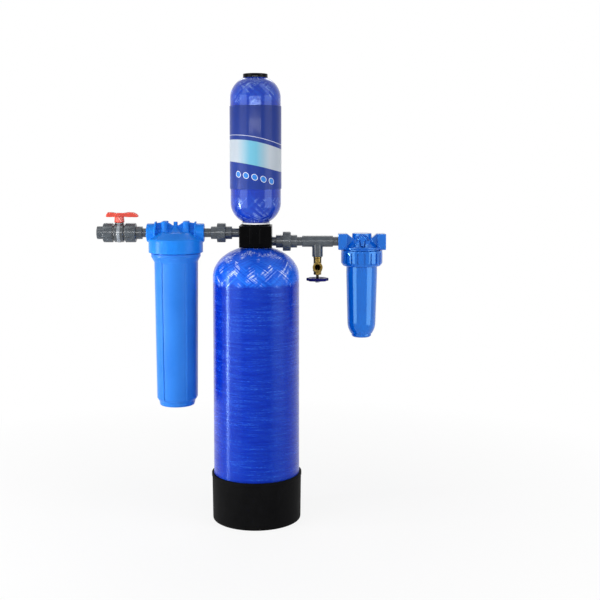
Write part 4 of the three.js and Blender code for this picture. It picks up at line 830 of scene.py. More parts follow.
def threaded(base, radius, tip, pitch, turns, low, finish):
    """Winds a screw thread on a neck, from a height up"""
    return grown(base, THREAD, {
        "Radius": radius, "Tip": tip, "Pitch": pitch, "Turns": turns, "Start height": low,
        "Finish": finish})


BODY_OF = {node: body for body, nodes in frame["record"]["behaviour"]["bodies"].items() for node in nodes}


def piece(node, made, place, finish):
    """Finishes the piece that stands for a node: in metres in its place, smooth and dressed"""
    made.data.transform(Matrix.Scale(MM, 4) @ place)
    made.name = made.data.name = node + "_finished"
    made.data.shade_smooth()
    made.data.set_sharp_from_angle(angle=CREASE)
    made.data.materials.clear()
    made.data.materials.append(finish)
    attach(made, BODY_OF[node])
    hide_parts(node)
    return made


# Materials


def linear(hex_colour):
    """An sRGB hex colour as the shaders take it"""
    shares = [int(hex_colour[i:i + 2], 16) / 255 for i in (1, 3, 5)]
    return [c / SRGB_TOE_SLOPE if c <= SRGB_TOE else ((c + SRGB_OFFSET) / (1 + SRGB_OFFSET)) ** SRGB_POWER
            for c in shares] + [1]


def new_material(name, slot, **shader):
    """A named material, its tree, its shader and the object coordinates that its patterns use"""
    made = bpy.data.materials.new(name)
    made["slot"] = slot
    made.use_nodes = True
    tree = made.node_tree
    shader_node = tree.nodes["Principled BSDF"]
    for socket, value in shader.items():
        shader_node.inputs[socket.replace("_", " ")].default_value = value
    return made, tree, shader_node, tree.nodes.new("ShaderNodeTexCoord").outputs["Object"]


def between(low, high, to_low=0.0, to_high=1.0):
    """The inputs that spread the part of a pattern between low and high over to_low to to_high"""
    return {"From Min": low, "From Max": high, "To Min": to_low, "To Max": to_high}


def tones(one, other):
    """The inputs for two colours to mix, each a hex colour or a colour from the tree"""
    return {socket: linear(colour) if isinstance(colour, str) else colour
            for socket, colour in ((FIRST_COLOUR, one), (OTHER_COLOUR, other))}


def uneven(tree, place, size, stretch=(1, 1, 1), detail=2.0):
    """Uneven patches, size mm across, drawn out along X, Y and Z"""
    scale = [1 / (size * MM * share) for share in stretch]
    scaled = add(tree, "ShaderNodeMapping", {"Vector": place, "Scale": scale})
    noise = add(tree, "ShaderNodeTexNoise", {"Vector": scaled, "Scale": 1.0, "Detail": detail})
    return noise.outputs["Fac"]


def apart(tree, one, other):
    """How far apart two measures are"""
    gap = add(tree, "ShaderNodeMath", {0: one, 1: other}, operation="SUBTRACT")
    return add(tree, "ShaderNodeMath", {0: gap}, operation="ABSOLUTE")


def across_both(tree, one, other):
    """The straight distance that two measures at right angles give"""
    flat = add(tree, "ShaderNodeCombineXYZ", {"X": one, "Y": other})
    return add(tree, "ShaderNodeVectorMath", {0: flat}, operation="LENGTH")


def where_all(tree, most, patterns):
    """A share, up to most, of the places where every pattern rises through its own range"""
    share = most
    for pattern, reach in patterns:
        high = add(tree, "ShaderNodeMapRange", {"Value": pattern, **between(*reach)})
        share = add(tree, "ShaderNodeMath", {0: share, 1: high}, operation="MULTIPLY")
    return share


def wound_glass(name, slot, radius, ends, dome_h, hoop_ends, hoop_tones, dome_tones, strand_and_glint_share,
                dry_fibre_and_glint_share, relief, roughness, **shader):
    """Filament-wound glass fibre under clear blue resin. Hoops lie flat round the body and give it
    fine level lines, while bands that lean over the ends cross each other on the domes. Pale flashes
    on the domes are partly dry fibre and partly painted glints, and pale streaks along the hoops are
    partly fibre strands and partly painted glints."""
    made, tree, node, place = new_material(name, slot, IOR=1.5, Anisotropic_Rotation=0.25, **shader)
    hoopwise = add(tree, "ShaderNodeTangent", direction_type="RADIAL", axis="Z")
    link(tree, hoopwise, node.inputs["Tangent"])
    x, y, z = add(tree, "ShaderNodeSeparateXYZ", {"Vector": place}).outputs
    fine = uneven(tree, place, FIBRE_W, (FIBRE_RUN_SHARE, FIBRE_RUN_SHARE, 1), detail=3.0)
    broad = uneven(tree, place, ROVING_W, (ROVING_RUN_SHARE, ROVING_RUN_SHARE, 1), detail=4.0)
    speck = uneven(tree, place, SPECK_W, (SPECK_RUN_SHARE, SPECK_RUN_SHARE, SPECK_THIN_SHARE), detail=3.0)
    patch = uneven(tree, place, BLOTCH_W, (1, 1, BLOTCH_TALL_SHARE), detail=3.0)

    # A point on a dome is traced back along the band through it, each way, to where that starts
    low_z, high_z = ends
    half = (high_z - low_z) / 2 * MM
    from_middle = apart(tree, z, (low_z + high_z) / 2 * MM)
    up_dome = add(tree, "ShaderNodeMath", {0: from_middle, 1: half}, operation="SUBTRACT")
    lean = up_dome
    for operation, value in (("MULTIPLY", radius / dome_h / BAND_LEAN_SHARE),
                             ("DIVIDE", across_both(tree, x, y)), ("MINIMUM", 1.0), ("MAXIMUM", -1.0)):
        lean = add(tree, "ShaderNodeMath", {0: lean, 1: value}, operation=operation)
    lean = add(tree, "ShaderNodeMath", {0: lean}, operation="ARCSINE")
    angle = add(tree, "ShaderNodeMath", {0: y, 1: x}, operation="ARCTAN2")
    bands = []
    for side in (1, -1):
        start = add(tree, "ShaderNodeMath", {0: lean, 1: side, 2: angle}, operation="MULTIPLY_ADD")
        ring = add(tree, "ShaderNodeCombineXYZ", {
            "X": add(tree, "ShaderNodeMath", {0: start}, operation="COSINE"),
            "Y": add(tree, "ShaderNodeMath", {0: start}, operation="SINE"),
            "Z": side,
        })
        ring = add(tree, "ShaderNodeVectorMath", {0: ring, "Scale": radius * MM}, operation="SCALE")
        bands.append(uneven(tree, ring.outputs["Vector"], BAND_W, detail=6.0))
    over = where_all(tree, 1.0, [(uneven(tree, place, CROSSING), CROSSING_SHARES)])
    crossed = add(tree, "ShaderNodeMix", {0: over, FIRST_VALUE: bands[0], OTHER_VALUE: bands[1]})

    # Hoops end in a ragged edge a little below the shoulders
    ragged = add(tree, "ShaderNodeMath", {0: patch, 1: MEAN_SHARE}, operation="SUBTRACT")
    level = add(tree, "ShaderNodeMath", {0: ragged, 1: HOOP_RAGGED * MM, 2: z}, operation="MULTIPLY_ADD")
    hoop_low, hoop_high = hoop_ends
    on_body = where_all(tree, 1.0, [
        (level, ((hoop_high + HOOP_FADE) * MM, (hoop_high - HOOP_FADE) * MM)),
        (level, ((hoop_low - HOOP_FADE) * MM, (hoop_low + HOOP_FADE) * MM)),
    ])
    lines = add(tree, "ShaderNodeMix", {0: FINE_SHARE, FIRST_VALUE: broad, OTHER_VALUE: fine})
    # The body's hoop lines, then pale streaks along them that are partly fibre strands and partly painted
    # glints
    body = hoop_tones[0]
    for most, tone, patterns in (
            (1.0, hoop_tones[1], [(lines, LINE_SHARES)]),
            (strand_and_glint_share, hoop_tones[2], [(lines, STRAND_AND_GLINT_SHARES), (speck, STRAND_AND_GLINT_SPECK_SHARES)])):
        share = where_all(tree, most, patterns)
        body = add(tree, "ShaderNodeMix", {0: share, **tones(body, tone)}, data_type="RGBA")
    neck_fade = (dome_h * NECK_FADE_SHARE * MM, dome_h * MM, 0.0, NECK_DEEP_SHARE)
    # The domes' crossed bands, deeper towards the necks, then pale flashes that are partly dry fibre and
    # partly painted glints
    end = dome_tones[0]
    for most, tone, patterns in (
            (1.0, dome_tones[1], [(crossed, BAND_SHARES)]),
            (1.0, dome_tones[0], [(up_dome, neck_fade)]),
            (dry_fibre_and_glint_share, dome_tones[2], [(crossed, DRY_AND_GLINT_BAND_SHARES), (patch, DRY_AND_GLINT_PATCH_SHARES),
                                          (speck, DRY_AND_GLINT_SPECK_SHARES)])):
        share = where_all(tree, most, patterns)
        end = add(tree, "ShaderNodeMix", {0: share, **tones(end, tone)}, data_type="RGBA")
    colour = add(tree, "ShaderNodeMix", {0: on_body, **tones(end, body)}, data_type="RGBA")
    link(tree, colour, node.inputs["Base Color"])
    gloss = add(tree, "ShaderNodeMapRange", {"Value": lines, **between(*GLOSS_SHARES, *roughness)})
    link(tree, gloss, node.inputs["Roughness"])
    height = add(tree, "ShaderNodeMix", {0: on_body, FIRST_VALUE: crossed, OTHER_VALUE: fine})
    bump = add(tree, "ShaderNodeBump", {"Strength": BUMP_SHARE, "Distance": relief * MM, "Height": height})
    link(tree, bump, node.inputs["Normal"])
    return made


def moulding(name, slot, shade, light, roughness, grain, relief, patch, highlight_band=None, **shader):
    """Moulded plastic: an even colour that clouds a little where it filled the mould, a fine
    grain left by the tool, and a gloss that varies with both. The real grain, about a tenth of a
    millimetre, is too fine to show, so each grain is drawn coarser."""
    made, tree, node, place = new_material(name, slot, **shader)
    cloud = uneven(tree, place, patch, detail=3.0)
    fine = uneven(tree, place, grain, detail=1.0)
    tone = add(tree, "ShaderNodeMapRange", {"Value": cloud, **between(*CLOUD_SHARES)})
    colour = add(tree, "ShaderNodeMix", {0: tone, **tones(shade, light)}, data_type="RGBA")
    # A band across X can be painted pale, as a highlight on it
    if highlight_band:
        highlight_band_x, width, highlight_band_colour = highlight_band
        x = add(tree, "ShaderNodeSeparateXYZ", {"Vector": place}).outputs["X"]
        on_highlight_band = add(tree, "ShaderNodeMapRange", {
            "Value": apart(tree, x, highlight_band_x * MM),
            **between((width + grain) / 2 * MM, (width - grain) / 2 * MM),
        })
        colour = add(tree, "ShaderNodeMix", {0: on_highlight_band, **tones(colour, highlight_band_colour)}, data_type="RGBA")
    link(tree, colour, node.inputs["Base Color"])
    swing = roughness * CLOUD_GLOSS_SHARE
    clouded = between(*CLOUD_SHARES, roughness - swing, roughness + swing)
    flecked = between(*CLOUD_SHARES, -GRAIN_GLOSS_SHARE, GRAIN_GLOSS_SHARE)
    gloss = add(tree, "ShaderNodeMath", {
        0: add(tree, "ShaderNodeMapRange", {"Value": cloud, **clouded}),
        1: add(tree, "ShaderNodeMapRange", {"Value": fine, **flecked}),
    }, operation="ADD")
    link(tree, gloss, node.inputs["Roughness"])
    bump = add(tree, "ShaderNodeBump", {"Strength": BUMP_SHARE, "Distance": relief * MM, "Height": fine})
    link(tree, bump, node.inputs["Normal"])
    return made


def metal(name, slot, shade, light, **skin):
    """Metal with a cast or turned skin that clouds where fingers and water have touched it"""
    return moulding(name, slot, shade, light, Metallic=1.0, **skin)


def printed_film(name, slot):
    """Printed film shrunk on the tank: deep blue ink with a pale stripe that slants down to the
    right, a cyan glow in its middle, plain rules and a row of plain rings"""
    made, tree, shader, place = new_material(name, slot, IOR=1.5, Specular_IOR_Level=0.15,
                                             Coat_Weight=0.12, Coat_Roughness=0.1)
    low, high = box_mm("upper_tank_label")
    x, y, z = add(tree, "ShaderNodeSeparateXYZ", {"Vector": place}).outputs
    aside = add(tree, "ShaderNodeMath", {0: x, 1: high[X] * MM}, operation="DIVIDE")
    aside_squared = add(tree, "ShaderNodeMath", {0: aside, 1: aside}, operation="MULTIPLY")

    def over(height, slope, sag):
        """How far a point lies over a line that slopes and sags as it goes round"""
        rise = z
        for run, fall in ((aside, slope), (aside_squared, sag)):
            rise = add(tree, "ShaderNodeMath", {0: run, 1: fall * MM, 2: rise}, operation="MULTIPLY_ADD")
        return add(tree, "ShaderNodeMath", {0: rise, 1: height * MM}, operation="SUBTRACT")

    def within(distance, reach):
        """1 up to a reach and 0 past it, with the soft edge of printing"""
        return where_all(tree, 1.0, [(distance, ((reach + PRINT_SOFT) * MM, (reach - PRINT_SOFT) * MM))])

    above_low = over(STRIPE_LOW_Z, STRIPE_LOW_SLOPE, STRIPE_LOW_SAG)
    above_top = over(STRIPE_TOP_Z, STRIPE_TOP_SLOPE, STRIPE_TOP_SAG)
    deep = where_all(tree, 1.0, [(z, (low[Z] * MM, high[Z] * MM))])
    ink = add(tree, "ShaderNodeMix", {0: deep, **tones(INK_LOW, INK_HIGH)}, data_type="RGBA")
    glow = where_all(tree, 1.0, [(apart(tree, aside, -GLOW_LEFT_SHARE), (*GLOW_SHARES, 1.0, 0.0))])
    stripe = add(tree, "ShaderNodeMix", {0: glow, **tones(STRIPE_PALE, STRIPE_CYAN)}, data_type="RGBA")
    in_stripe = where_all(tree, 1.0, [
        (above_low, (-STRIPE_SOFT * MM, STRIPE_SOFT * MM)),
        (above_top, (STRIPE_SOFT * MM, -STRIPE_SOFT * MM)),
    ])
    colour = add(tree, "ShaderNodeMix", {0: in_stripe, **tones(ink, stripe)}, data_type="RGBA")

    # The rings stand in a row that follows the stripe's lower edge round the sleeve
    towards = add(tree, "ShaderNodeMath", {0: y, 1: -1}, operation="MULTIPLY")
    angle = add(tree, "ShaderNodeMath", {0: x, 1: towards}, operation="ARCTAN2")
    arc = add(tree, "ShaderNodeMath", {0: angle, 1: high[X] * MM}, operation="MULTIPLY")
    cell = add(tree, "ShaderNodeMath", {
        0: arc, 1: RING_MOTIF_PITCH / 2 * MM, 2: -RING_MOTIF_PITCH / 2 * MM}, operation="WRAP")
    rise = add(tree, "ShaderNodeMath", {0: above_low, 1: RING_MOTIF_BELOW * MM}, operation="ADD")
    out = across_both(tree, cell, rise)
    in_row = within(apart(tree, arc, 0), RING_MOTIF_REACH)
    disc = add(tree, "ShaderNodeMath", {0: within(out, RING_MOTIF_R), 1: in_row}, operation="MULTIPLY")
    colour = add(tree, "ShaderNodeMix", {0: disc, **tones(colour, DISC_BLUE)}, data_type="RGBA")
    line = within(apart(tree, out, RING_MOTIF_R * MM), RING_MOTIF_LINE / 2)
    ring = add(tree, "ShaderNodeMath", {0: line, 1: in_row}, operation="MULTIPLY")
    rule = within(apart(tree, above_top, RULE_ABOVE * MM), RULE_W / 2)
    marks = add(tree, "ShaderNodeMath", {0: rule, 1: ring}, operation="MAXIMUM")
    colour = add(tree, "ShaderNodeMix", {0: marks, **tones(colour, MARK_WHITE)}, data_type="RGBA")
    link(tree, colour, shader.inputs["Base Color"])
    cloud = uneven(tree, place, FILM_CLOUD, (1, 1, FILM_CLOUD_TALL_SHARE))
    gloss = add(tree, "ShaderNodeMapRange", {"Value": cloud, **between(*CLOUD_SHARES, *FILM_ROUGHNESS)})
    link(tree, gloss, shader.inputs["Roughness"])
    return made


# Rotomoulded polyethylene: rubbery black, hardly any gloss
boot_black = moulding(
    "rotomoulded_polyethylene", "boot", "#0a0a0b", "#101011",
    roughness=0.6, grain=1.2, relief=0.12, patch=40, Specular_IOR_Level=0.03)
# Glass fibre in deep blue resin: hoops on the body, crossed bands on the domes; the third tones paint pale
# streaks and flashes that are partly fibre and partly painted glints
tank_blue = wound_glass(
    "filament_wound_glass_fibre", "tank_fibreglass", TANK_R, TANK_ENDS, TANK_DOME_H, TANK_HOOPS,
    hoop_tones=("#011ea0", "#0a34b4", "#4c90fa"), dome_tones=("#0230bc", "#2478f4", "#e4eeff"),
    strand_and_glint_share=0.5, dry_fibre_and_glint_share=0.95, relief=0.7, roughness=(0.34, 0.22),
    Specular_IOR_Level=0.45, Specular_Tint=linear("#84b8ff"), Anisotropic=0.95)
# The same winding under more resin: paler, smoother and glossier
upper_blue = wound_glass(
    "filament_wound_glass_fibre_pale", "upper_fibreglass", UPPER_R, UPPER_ENDS, UPPER_DOME_H, UPPER_HOOPS,
    # Its third tones, too, are partly painted glints
    hoop_tones=("#0826a0", "#0c30aa", "#3c68cc"), dome_tones=("#082aa8", "#1848ba", "#a4c0f0"),
    strand_and_glint_share=0.2, dry_fibre_and_glint_share=0.5, relief=0.08, roughness=(0.14, 0.08),
    Specular_IOR_Level=0.7, Specular_Tint=linear("#b4d0ff"))
# Polyester film, printed on its back and shrunk on: even ink under a satin face
sleeve_film = printed_film("printed_shrink_film", "label_film")
# Glass-filled nylon: black with a low sheen
nylon_black = moulding(
    "glass_filled_nylon", "moulded_black", "#020203", "#050506",
    roughness=0.22, grain=0.8, relief=0.05, patch=25, Specular_IOR_Level=0.03)
# Polished ABS: black, with mirror-like highlights
cap_black = moulding(
    "gloss_black_abs", "gloss_black", "#020203", "#040405",
    roughness=0.05, grain=0.6, relief=0.002, patch=30, Specular_IOR_Level=0.08)
# Blue polypropylene: waxy and satin
sump_blue = moulding(
    "blue_polypropylene", "sump_blue", "#1878de", "#2082e8",
    roughness=0.28, grain=0.7, relief=0.012, patch=60, Specular_IOR_Level=0.12)
# The same polypropylene in a long moulding: a little greyer and duller, in wider clouds
sump_low_blue = moulding(
    "blue_polypropylene_sump", "sump_blue", "#2c78d8", "#3280e0",
    roughness=0.3, grain=0.7, relief=0.012, patch=90, Specular_IOR_Level=0.12)
# Styrene: hard, clear gloss over a deeper blue
post_blue = moulding(
    "gloss_blue_styrene", "post_blue", "#0058c4", "#0060cc",
    roughness=0.08, grain=0.7, relief=0.001, patch=60,
    IOR=1.59, Specular_IOR_Level=1.0, Specular_Tint=linear("#8cd2ff"))
# PVC-U: neutral dark grey with a hard satin skin
pvc_grey = moulding(
    "dark_grey_pvc", "pvc_grey", "#383f46", "#464e55",
    roughness=0.2, grain=0.6, relief=0.012, patch=14, Specular_IOR_Level=0.6)
# PVC-U of the valve's body: darker and glossier, with its raised middle band painted pale as a highlight
valve_grey = moulding(
    "dark_grey_pvc_valve", "pvc_grey", "#2a3036", "#373e44",
    roughness=0.15, grain=0.6, relief=0.012, patch=14, highlight_band=(VALVE_X, VALVE_BAND_W, "#858d94"),
    Specular_IOR_Level=0.9)
# ABS: bright, warm red with a soft gloss
handle_red = moulding(
    "orange_red_abs", "handle_red", "#c82c14", "#d63e22",
    roughness=0.15, grain=0.5, relief=0.008, patch=20, Specular_IOR_Level=0.8)
# Cast and tumbled brass, brown where it has aged
cast_brass = metal(
    "cast_brass", "brass", "#524422", "#9c8448", roughness=0.24, grain=0.5, relief=0.06, patch=5)
# Brass that water has blackened: nearly black, with a dim brown sheen
stem_brass = metal(
    "blackened_brass", "brass", "#17150f", "#2c271c", roughness=0.36, grain=0.5, relief=0.04, patch=5)
# Enamel on cast iron: thick, glossy navy that softens the casting
wheel_navy = moulding(
    "navy_enamel_on_iron", "wheel_navy", "#08084e", "#101062",
    roughness=0.3, grain=1.4, relief=0.05, patch=8, Specular_IOR_Level=0.05)
# Zinc-plated steel: pale, cool grey with a soft shine
bolt_steel = metal(
    "zinc_plated_steel", "steel", "#8f9298", "#b2b5ba", roughness=0.3, grain=0.4, relief=0.02, patch=3)
# Nitrile rubber: matt and nearly black
seal_rubber = moulding(
    "nitrile_rubber", "rubber", "#0e0e0f", "#1a1a1b",
    roughness=0.7, grain=0.4, relief=0.03, patch=8, Specular_IOR_Level=0.2)
# Uncoloured polypropylene: milky white and waxy
natural_white = moulding(
    "natural_polypropylene", "natural_plastic", "#ececea", "#f6f6f4",
    roughness=0.42, grain=0.6, relief=0.02, patch=30)
# Wound polypropylene yarn: off-white and matt, with coarse soft ridges
filter_white = moulding(
    "wound_polypropylene_yarn", "cartridge", "#dcd9cf", "#f0ede6",
    roughness=0.85, grain=2.4, relief=0.6, patch=9)
# Granular carbon: matt black grains with greyer faces
carbon_black = moulding(
    "granular_carbon", "carbon", "#0c0c0c", "#2c2c2c", roughness=0.9, grain=1.6, relief=0.9, patch=5)
# Washed gravel: dull stones between brown and grey
gravel_grey = moulding(
    "washed_gravel", "gravel", "#6f675b", "#a89f90", roughness=0.85, grain=4.5, relief=1.6, patch=11)

# Boot and main tank


def dome(radius, height, level, neck, way):
    """The points of an elliptic end from the side of a tank to its neck, above or below a level"""
    end = math.acos(neck / radius)
    angles = [end * i / DOME_STEPS for i in range(DOME_STEPS + 1)]
    return [(radius * math.cos(a), level + way * height * math.sin(a)) for a in angles]


boot_top = box_mm("base_boot")[1][Z]
boot_rim_r = box_mm("base_boot")[1][X]
boot_in_r = BOOT_R - BOOT_WALL
piece("base_boot", turned([
    (0, 0),
    (BOOT_R - BOOT_DRAFT, 0, BOOT_FOOT_EDGE),
    (BOOT_R, boot_top - BOOT_RIM_H, BOOT_RIM_EDGE),
    (boot_rim_r, boot_top - BOOT_RIM_H + BOOT_RIM_EDGE, BOOT_RIM_EDGE),
    (boot_rim_r, boot_top, BOOT_RIM_EDGE),
    (boot_in_r, boot_top, BOOT_RIM_EDGE),
    (boot_in_r, BOOT_FLOOR),
    (0, BOOT_FLOOR),
], FINE_SIDES), HERE, boot_black)

tank_top = box_mm("main_tank")[1][Z]
tank_low_z, tank_high_z = TANK_ENDS
tank_in_r = TANK_R - TANK_WALL
tank_in_dome_h = TANK_DOME_H - TANK_WALL
piece("main_tank", turned([
    *reversed(dome(TANK_R, TANK_DOME_H, tank_low_z, 0, -1)),
    *dome(TANK_R, TANK_DOME_H, tank_high_z, TANK_NECK_R, 1),
    (TANK_NECK_R, tank_top),
    (TANK_NECK_BORE, tank_top),
    *reversed(dome(tank_in_r, tank_in_dome_h, tank_high_z, TANK_NECK_BORE, 1)),
    *dome(tank_in_r, tank_in_dome_h, tank_low_z, 0, -1),
], FINE_SIDES), HERE, tank_blue)

# Manifold block, neck adapter, upper tank, its sleeve and cap

block_low, block_high = box_mm("manifold_block")
block_top = block_high[Z] - MANIFOLD_COLLAR_H
foot_z = block_top - MANIFOLD_H - MANIFOLD_FOOT_DROP
boss_z = block_low[Z]


def manifold():
    """The block with an eye and a socket on each side, ribs on its faces, a foot and a collar"""
    side = 2 * MANIFOLD_FACE
    body = block(side, side, MANIFOLD_H, (0, 0, block_top - MANIFOLD_H / 2), MANIFOLD_CORNER)
    ports = [Matrix.Translation((0, 0, level)) @ to_side(side)
             for level, side in ((INLET_Z, -1), (OUTLET_Z, 1))]
    eyes = [moved(bar(MANIFOLD_PORT_EYE_R, MANIFOLD_FACE - OVERRUN, MANIFOLD_FACE + MANIFOLD_EYE_OUT), port)
            for port in ports]
    ribs = [moved(block(MANIFOLD_RIB_W, MANIFOLD_RIB_OUT + OVERRUN, MANIFOLD_RIB_H, (0, 0, 0)),
                  Matrix.Translation((way * MANIFOLD_RIB_PITCH / 2,
                                      face * (MANIFOLD_FACE + (MANIFOLD_RIB_OUT - OVERRUN) / 2),
                                      block_top - MANIFOLD_H / 2)))
            for way in (-1, 1) for face in (-1, 1)]
    foot = bar(MANIFOLD_FOOT_R, foot_z, foot_z + MANIFOLD_FOOT_DROP + OVERRUN)
    collar = bar(MANIFOLD_COLLAR_R, block_top - OVERRUN, block_high[Z])
    body = moulded(joined(body, *eyes, *ribs, foot, collar), MANIFOLD_GRAIN, MANIFOLD_SOFT_PASSES)
    body = joined(body, bar(MANIFOLD_BOSS_R, boss_z, foot_z + OVERRUN))
    recess_z = block_high[Z] - RECESS_H
    return cut(
        body,
        *[socket(MANIFOLD_FACE, port) for port in ports],
        bar(RECESS_R, recess_z, block_high[Z] + OVERRUN),
        bar(SOCKET_R, INLET_Z, recess_z + OVERRUN),
        bar(SOCKET_R, boss_z - OVERRUN, box_mm("main_riser_tube")[1][Z]),
        tube(ORING_GROOVE_R, MANIFOLD_BOSS_R, foot_z - OVERRUN, box_mm("tank_neck_oring")[1][Z]),
    )


piece("manifold_block", manifold(), HERE, nylon_black)

adapter_low, adapter_high = box_mm("neck_adapter")
adapter_z = adapter_low[Z] + ADAPTER_LOWER_H
piece("neck_adapter", turned([
    (ADAPTER_BORE, adapter_low[Z]),
    (ADAPTER_LOWER_R, adapter_low[Z]),
    (ADAPTER_LOWER_R, adapter_z),
    (ADAPTER_R, adapter_z, ADAPTER_EDGE),
    (ADAPTER_R, adapter_z + ADAPTER_H, ADAPTER_EDGE),
    (ADAPTER_UPPER_R, adapter_z + ADAPTER_H),
    (ADAPTER_UPPER_R, adapter_high[Z]),
    (ADAPTER_BORE, adapter_high[Z]),
]), HERE, natural_white)

upper_low, upper_high = box_mm("upper_tank_shell")
upper_low_z, upper_high_z = UPPER_ENDS
upper_in_r = UPPER_R - UPPER_WALL
upper_in_dome_h = UPPER_DOME_H - UPPER_WALL
piece("upper_tank_shell", turned([
    (UPPER_NECK_BORE, upper_low[Z]),
    (UPPER_NECK_R, upper_low[Z]),
    *reversed(dome(UPPER_R, UPPER_DOME_H, upper_low_z, UPPER_NECK_R, -1)),
    *dome(UPPER_R, UPPER_DOME_H, upper_high_z, UPPER_NECK_R, 1),
    (UPPER_NECK_R, upper_high[Z]),
    (UPPER_NECK_BORE, upper_high[Z]),
    *reversed(dome(upper_in_r, upper_in_dome_h, upper_high_z, UPPER_NECK_BORE, 1)),
    *dome(upper_in_r, upper_in_dome_h, upper_low_z, UPPER_NECK_BORE, -1),
], FINE_SIDES), HERE, upper_blue)

sleeve_low, sleeve_high = box_mm("upper_tank_label")
sleeve_in_r = sleeve_high[X] - SLEEVE_T
piece("upper_tank_label", turned([
    (sleeve_in_r, sleeve_low[Z]),
    (sleeve_high[X] - SLEEVE_SHRINK, sleeve_low[Z]),
    (sleeve_high[X], sleeve_low[Z] + SLEEVE_ROLL, SLEEVE_ROLL),
    (sleeve_high[X], sleeve_high[Z] - SLEEVE_ROLL, SLEEVE_ROLL),
    (sleeve_high[X] - SLEEVE_SHRINK, sleeve_high[Z]),
    (sleeve_in_r, sleeve_high[Z]),
], FINE_SIDES), HERE, sleeve_film)

cap_low, cap_high = box_mm("upper_tank_cap")
cap_z = cap_high[Z] - CAP_H
cap_oring = box_mm("upper_cap_oring")[1]
piece("upper_tank_cap", turned([
    (0, cap_low[Z]),
    (CAP_PLUG_R, cap_low[Z]),
    (CAP_PLUG_R, cap_oring[Z] + CAP_ORING_PLAY),
    (cap_oring[X] + CAP_ORING_PLAY, cap_oring[Z] + CAP_ORING_PLAY),
    (cap_oring[X] + CAP_ORING_PLAY, cap_z),
    (CAP_R, cap_z, CAP_FOOT_EDGE),
    (CAP_R, cap_high[Z], CAP_EDGE),
    (CAP_DISH_R, cap_high[Z], CAP_FOOT_EDGE),
    (CAP_DISH_R - CAP_DISH_H, cap_high[Z] - CAP_DISH_H, CAP_FOOT_EDGE),
    (0, cap_high[Z] - CAP_DISH_H),
]), HERE, cap_black)

# Pipes and unions. Their profiles run along X, from a face out to an end


def along(start, way, outline):
    """An outline laid out along X from a start, onward for 1 and back for -1"""
    return [(corner[0], start + way * corner[1], *corner[2:]) for corner in outline]


def nipple(node, line):
    """A short pipe between two sockets"""
    low, high = box_mm(node)
    piece(node, tube(PIPE_R, PIPE_BORE, low[X], high[X], SMALL_EDGE), line, pvc_grey)


def tail_half(node, line, way):
    """The half of a union that the nut's lip holds, from its face out to the pipe's socket"""
    low, high = box_mm(node)
    length = high[X] - low[X]
    piece(node, turned(along(low[X] if way > 0 else high[X], way, [
        (PIPE_BORE, 0),
        (FLANGE_R, 0, SMALL_EDGE),
        (FLANGE_R, FLANGE_T, SMALL_EDGE),
        (HUB_R, FLANGE_T),
        (HUB_R, length, HUB_EDGE),
        (SOCKET_R, length, SMALL_EDGE),
        (SOCKET_R, length - SOCKET_DEPTH),
        (PIPE_BORE, length - SOCKET_DEPTH),
    ])), line, pvc_grey)


def threaded_half(node, line, oring, nut):
    """The half of a union that the nut screws onto, with a step for the O-ring in its face"""
    low, high = box_mm(node)
    length = high[X] - low[X]
    under_nut = high[X] - box_mm(nut)[0][X]
    ring_low, ring_high = box_mm(oring)
    base = turned(along(high[X], -1, [
        (PIPE_BORE, high[X] - ring_low[X]),
        (ring_high[Y] + ORING_PLAY, high[X] - ring_low[X]),
        (ring_high[Y] + ORING_PLAY, 0),
        (THREAD_ROOT_R, 0, SMALL_EDGE),
        (THREAD_ROOT_R, under_nut, SMALL_EDGE),
        (HUB_R, under_nut),
        (HUB_R, length, HUB_EDGE),
        (SOCKET_R, length, SMALL_EDGE),
        (SOCKET_R, length - SOCKET_DEPTH),
        (PIPE_BORE, length - SOCKET_DEPTH),
    ]))
    threaded(base, THREAD_ROOT_R, UNION_THREAD_TIP, UNION_THREAD_PITCH, UNION_THREAD_TURNS,
             high[X] - under_nut + UNION_THREAD_START, pvc_grey)
    piece(node, base, line, pvc_grey)


def union_nut(node, line, way):
    """A union nut with grooves moulded between its finger ribs; way points to its lip"""
    low, high = box_mm(node)
    length = high[X] - low[X]
    nut = turned([
        (THREAD_R + THREAD_PLAY, 0),
        (NUT_R, 0, NUT_OPEN_EDGE),
        (NUT_R, length, NUT_EDGE),
        (HUB_R + THREAD_PLAY, length, NUT_OPEN_EDGE),
        (HUB_R + THREAD_PLAY, length - NUT_LIP),
        (THREAD_R + THREAD_PLAY, length - NUT_LIP),
    ])
    groove = block(NUT_GROOVE_W, NUT_GROOVE_DEPTH * 2, length + 2 * OVERRUN, (0, NUT_R, length / 2),
                   NUT_GROOVE_ROUND)
    round_the_axis(nut, groove, NUT_RIBS, pvc_grey, operation="DIFFERENCE")
    start = Matrix.Translation((0, 0, low[X] if way > 0 else high[X]))
    turn = HERE if way > 0 else Matrix.Rotation(math.pi, 4, "Y")
    piece(node, nut, line @ start @ turn, pvc_grey)


for node in ("manifold_inlet_nipple", "prefilter_outlet_nipple", "prefilter_inlet_nipple"):
    nipple(node, ON_INLET)
for node in ("manifold_outlet_nipple", "tee_inlet_nipple", "tee_outlet_nipple"):
    nipple(node, ON_OUTLET)
tail_half("left_union_tail_half", ON_INLET, 1)
tail_half("valve_outlet_connector", ON_INLET, 1)
tail_half("inlet_end_connector", ON_INLET, -1)
tail_half("right_union_tail_half", ON_OUTLET, 1)
threaded_half("left_union_threaded_half", ON_INLET, "left_union_oring", "left_union_nut")
threaded_half("right_union_threaded_half", ON_OUTLET, "right_union_oring", "right_union_nut")
union_nut("left_union_nut", ON_INLET, 1)
union_nut("outlet_union_nut", ON_INLET, 1)
union_nut("inlet_union_nut", ON_INLET, -1)
union_nut("right_union_nut", ON_OUTLET, 1)

# Shut-off valve


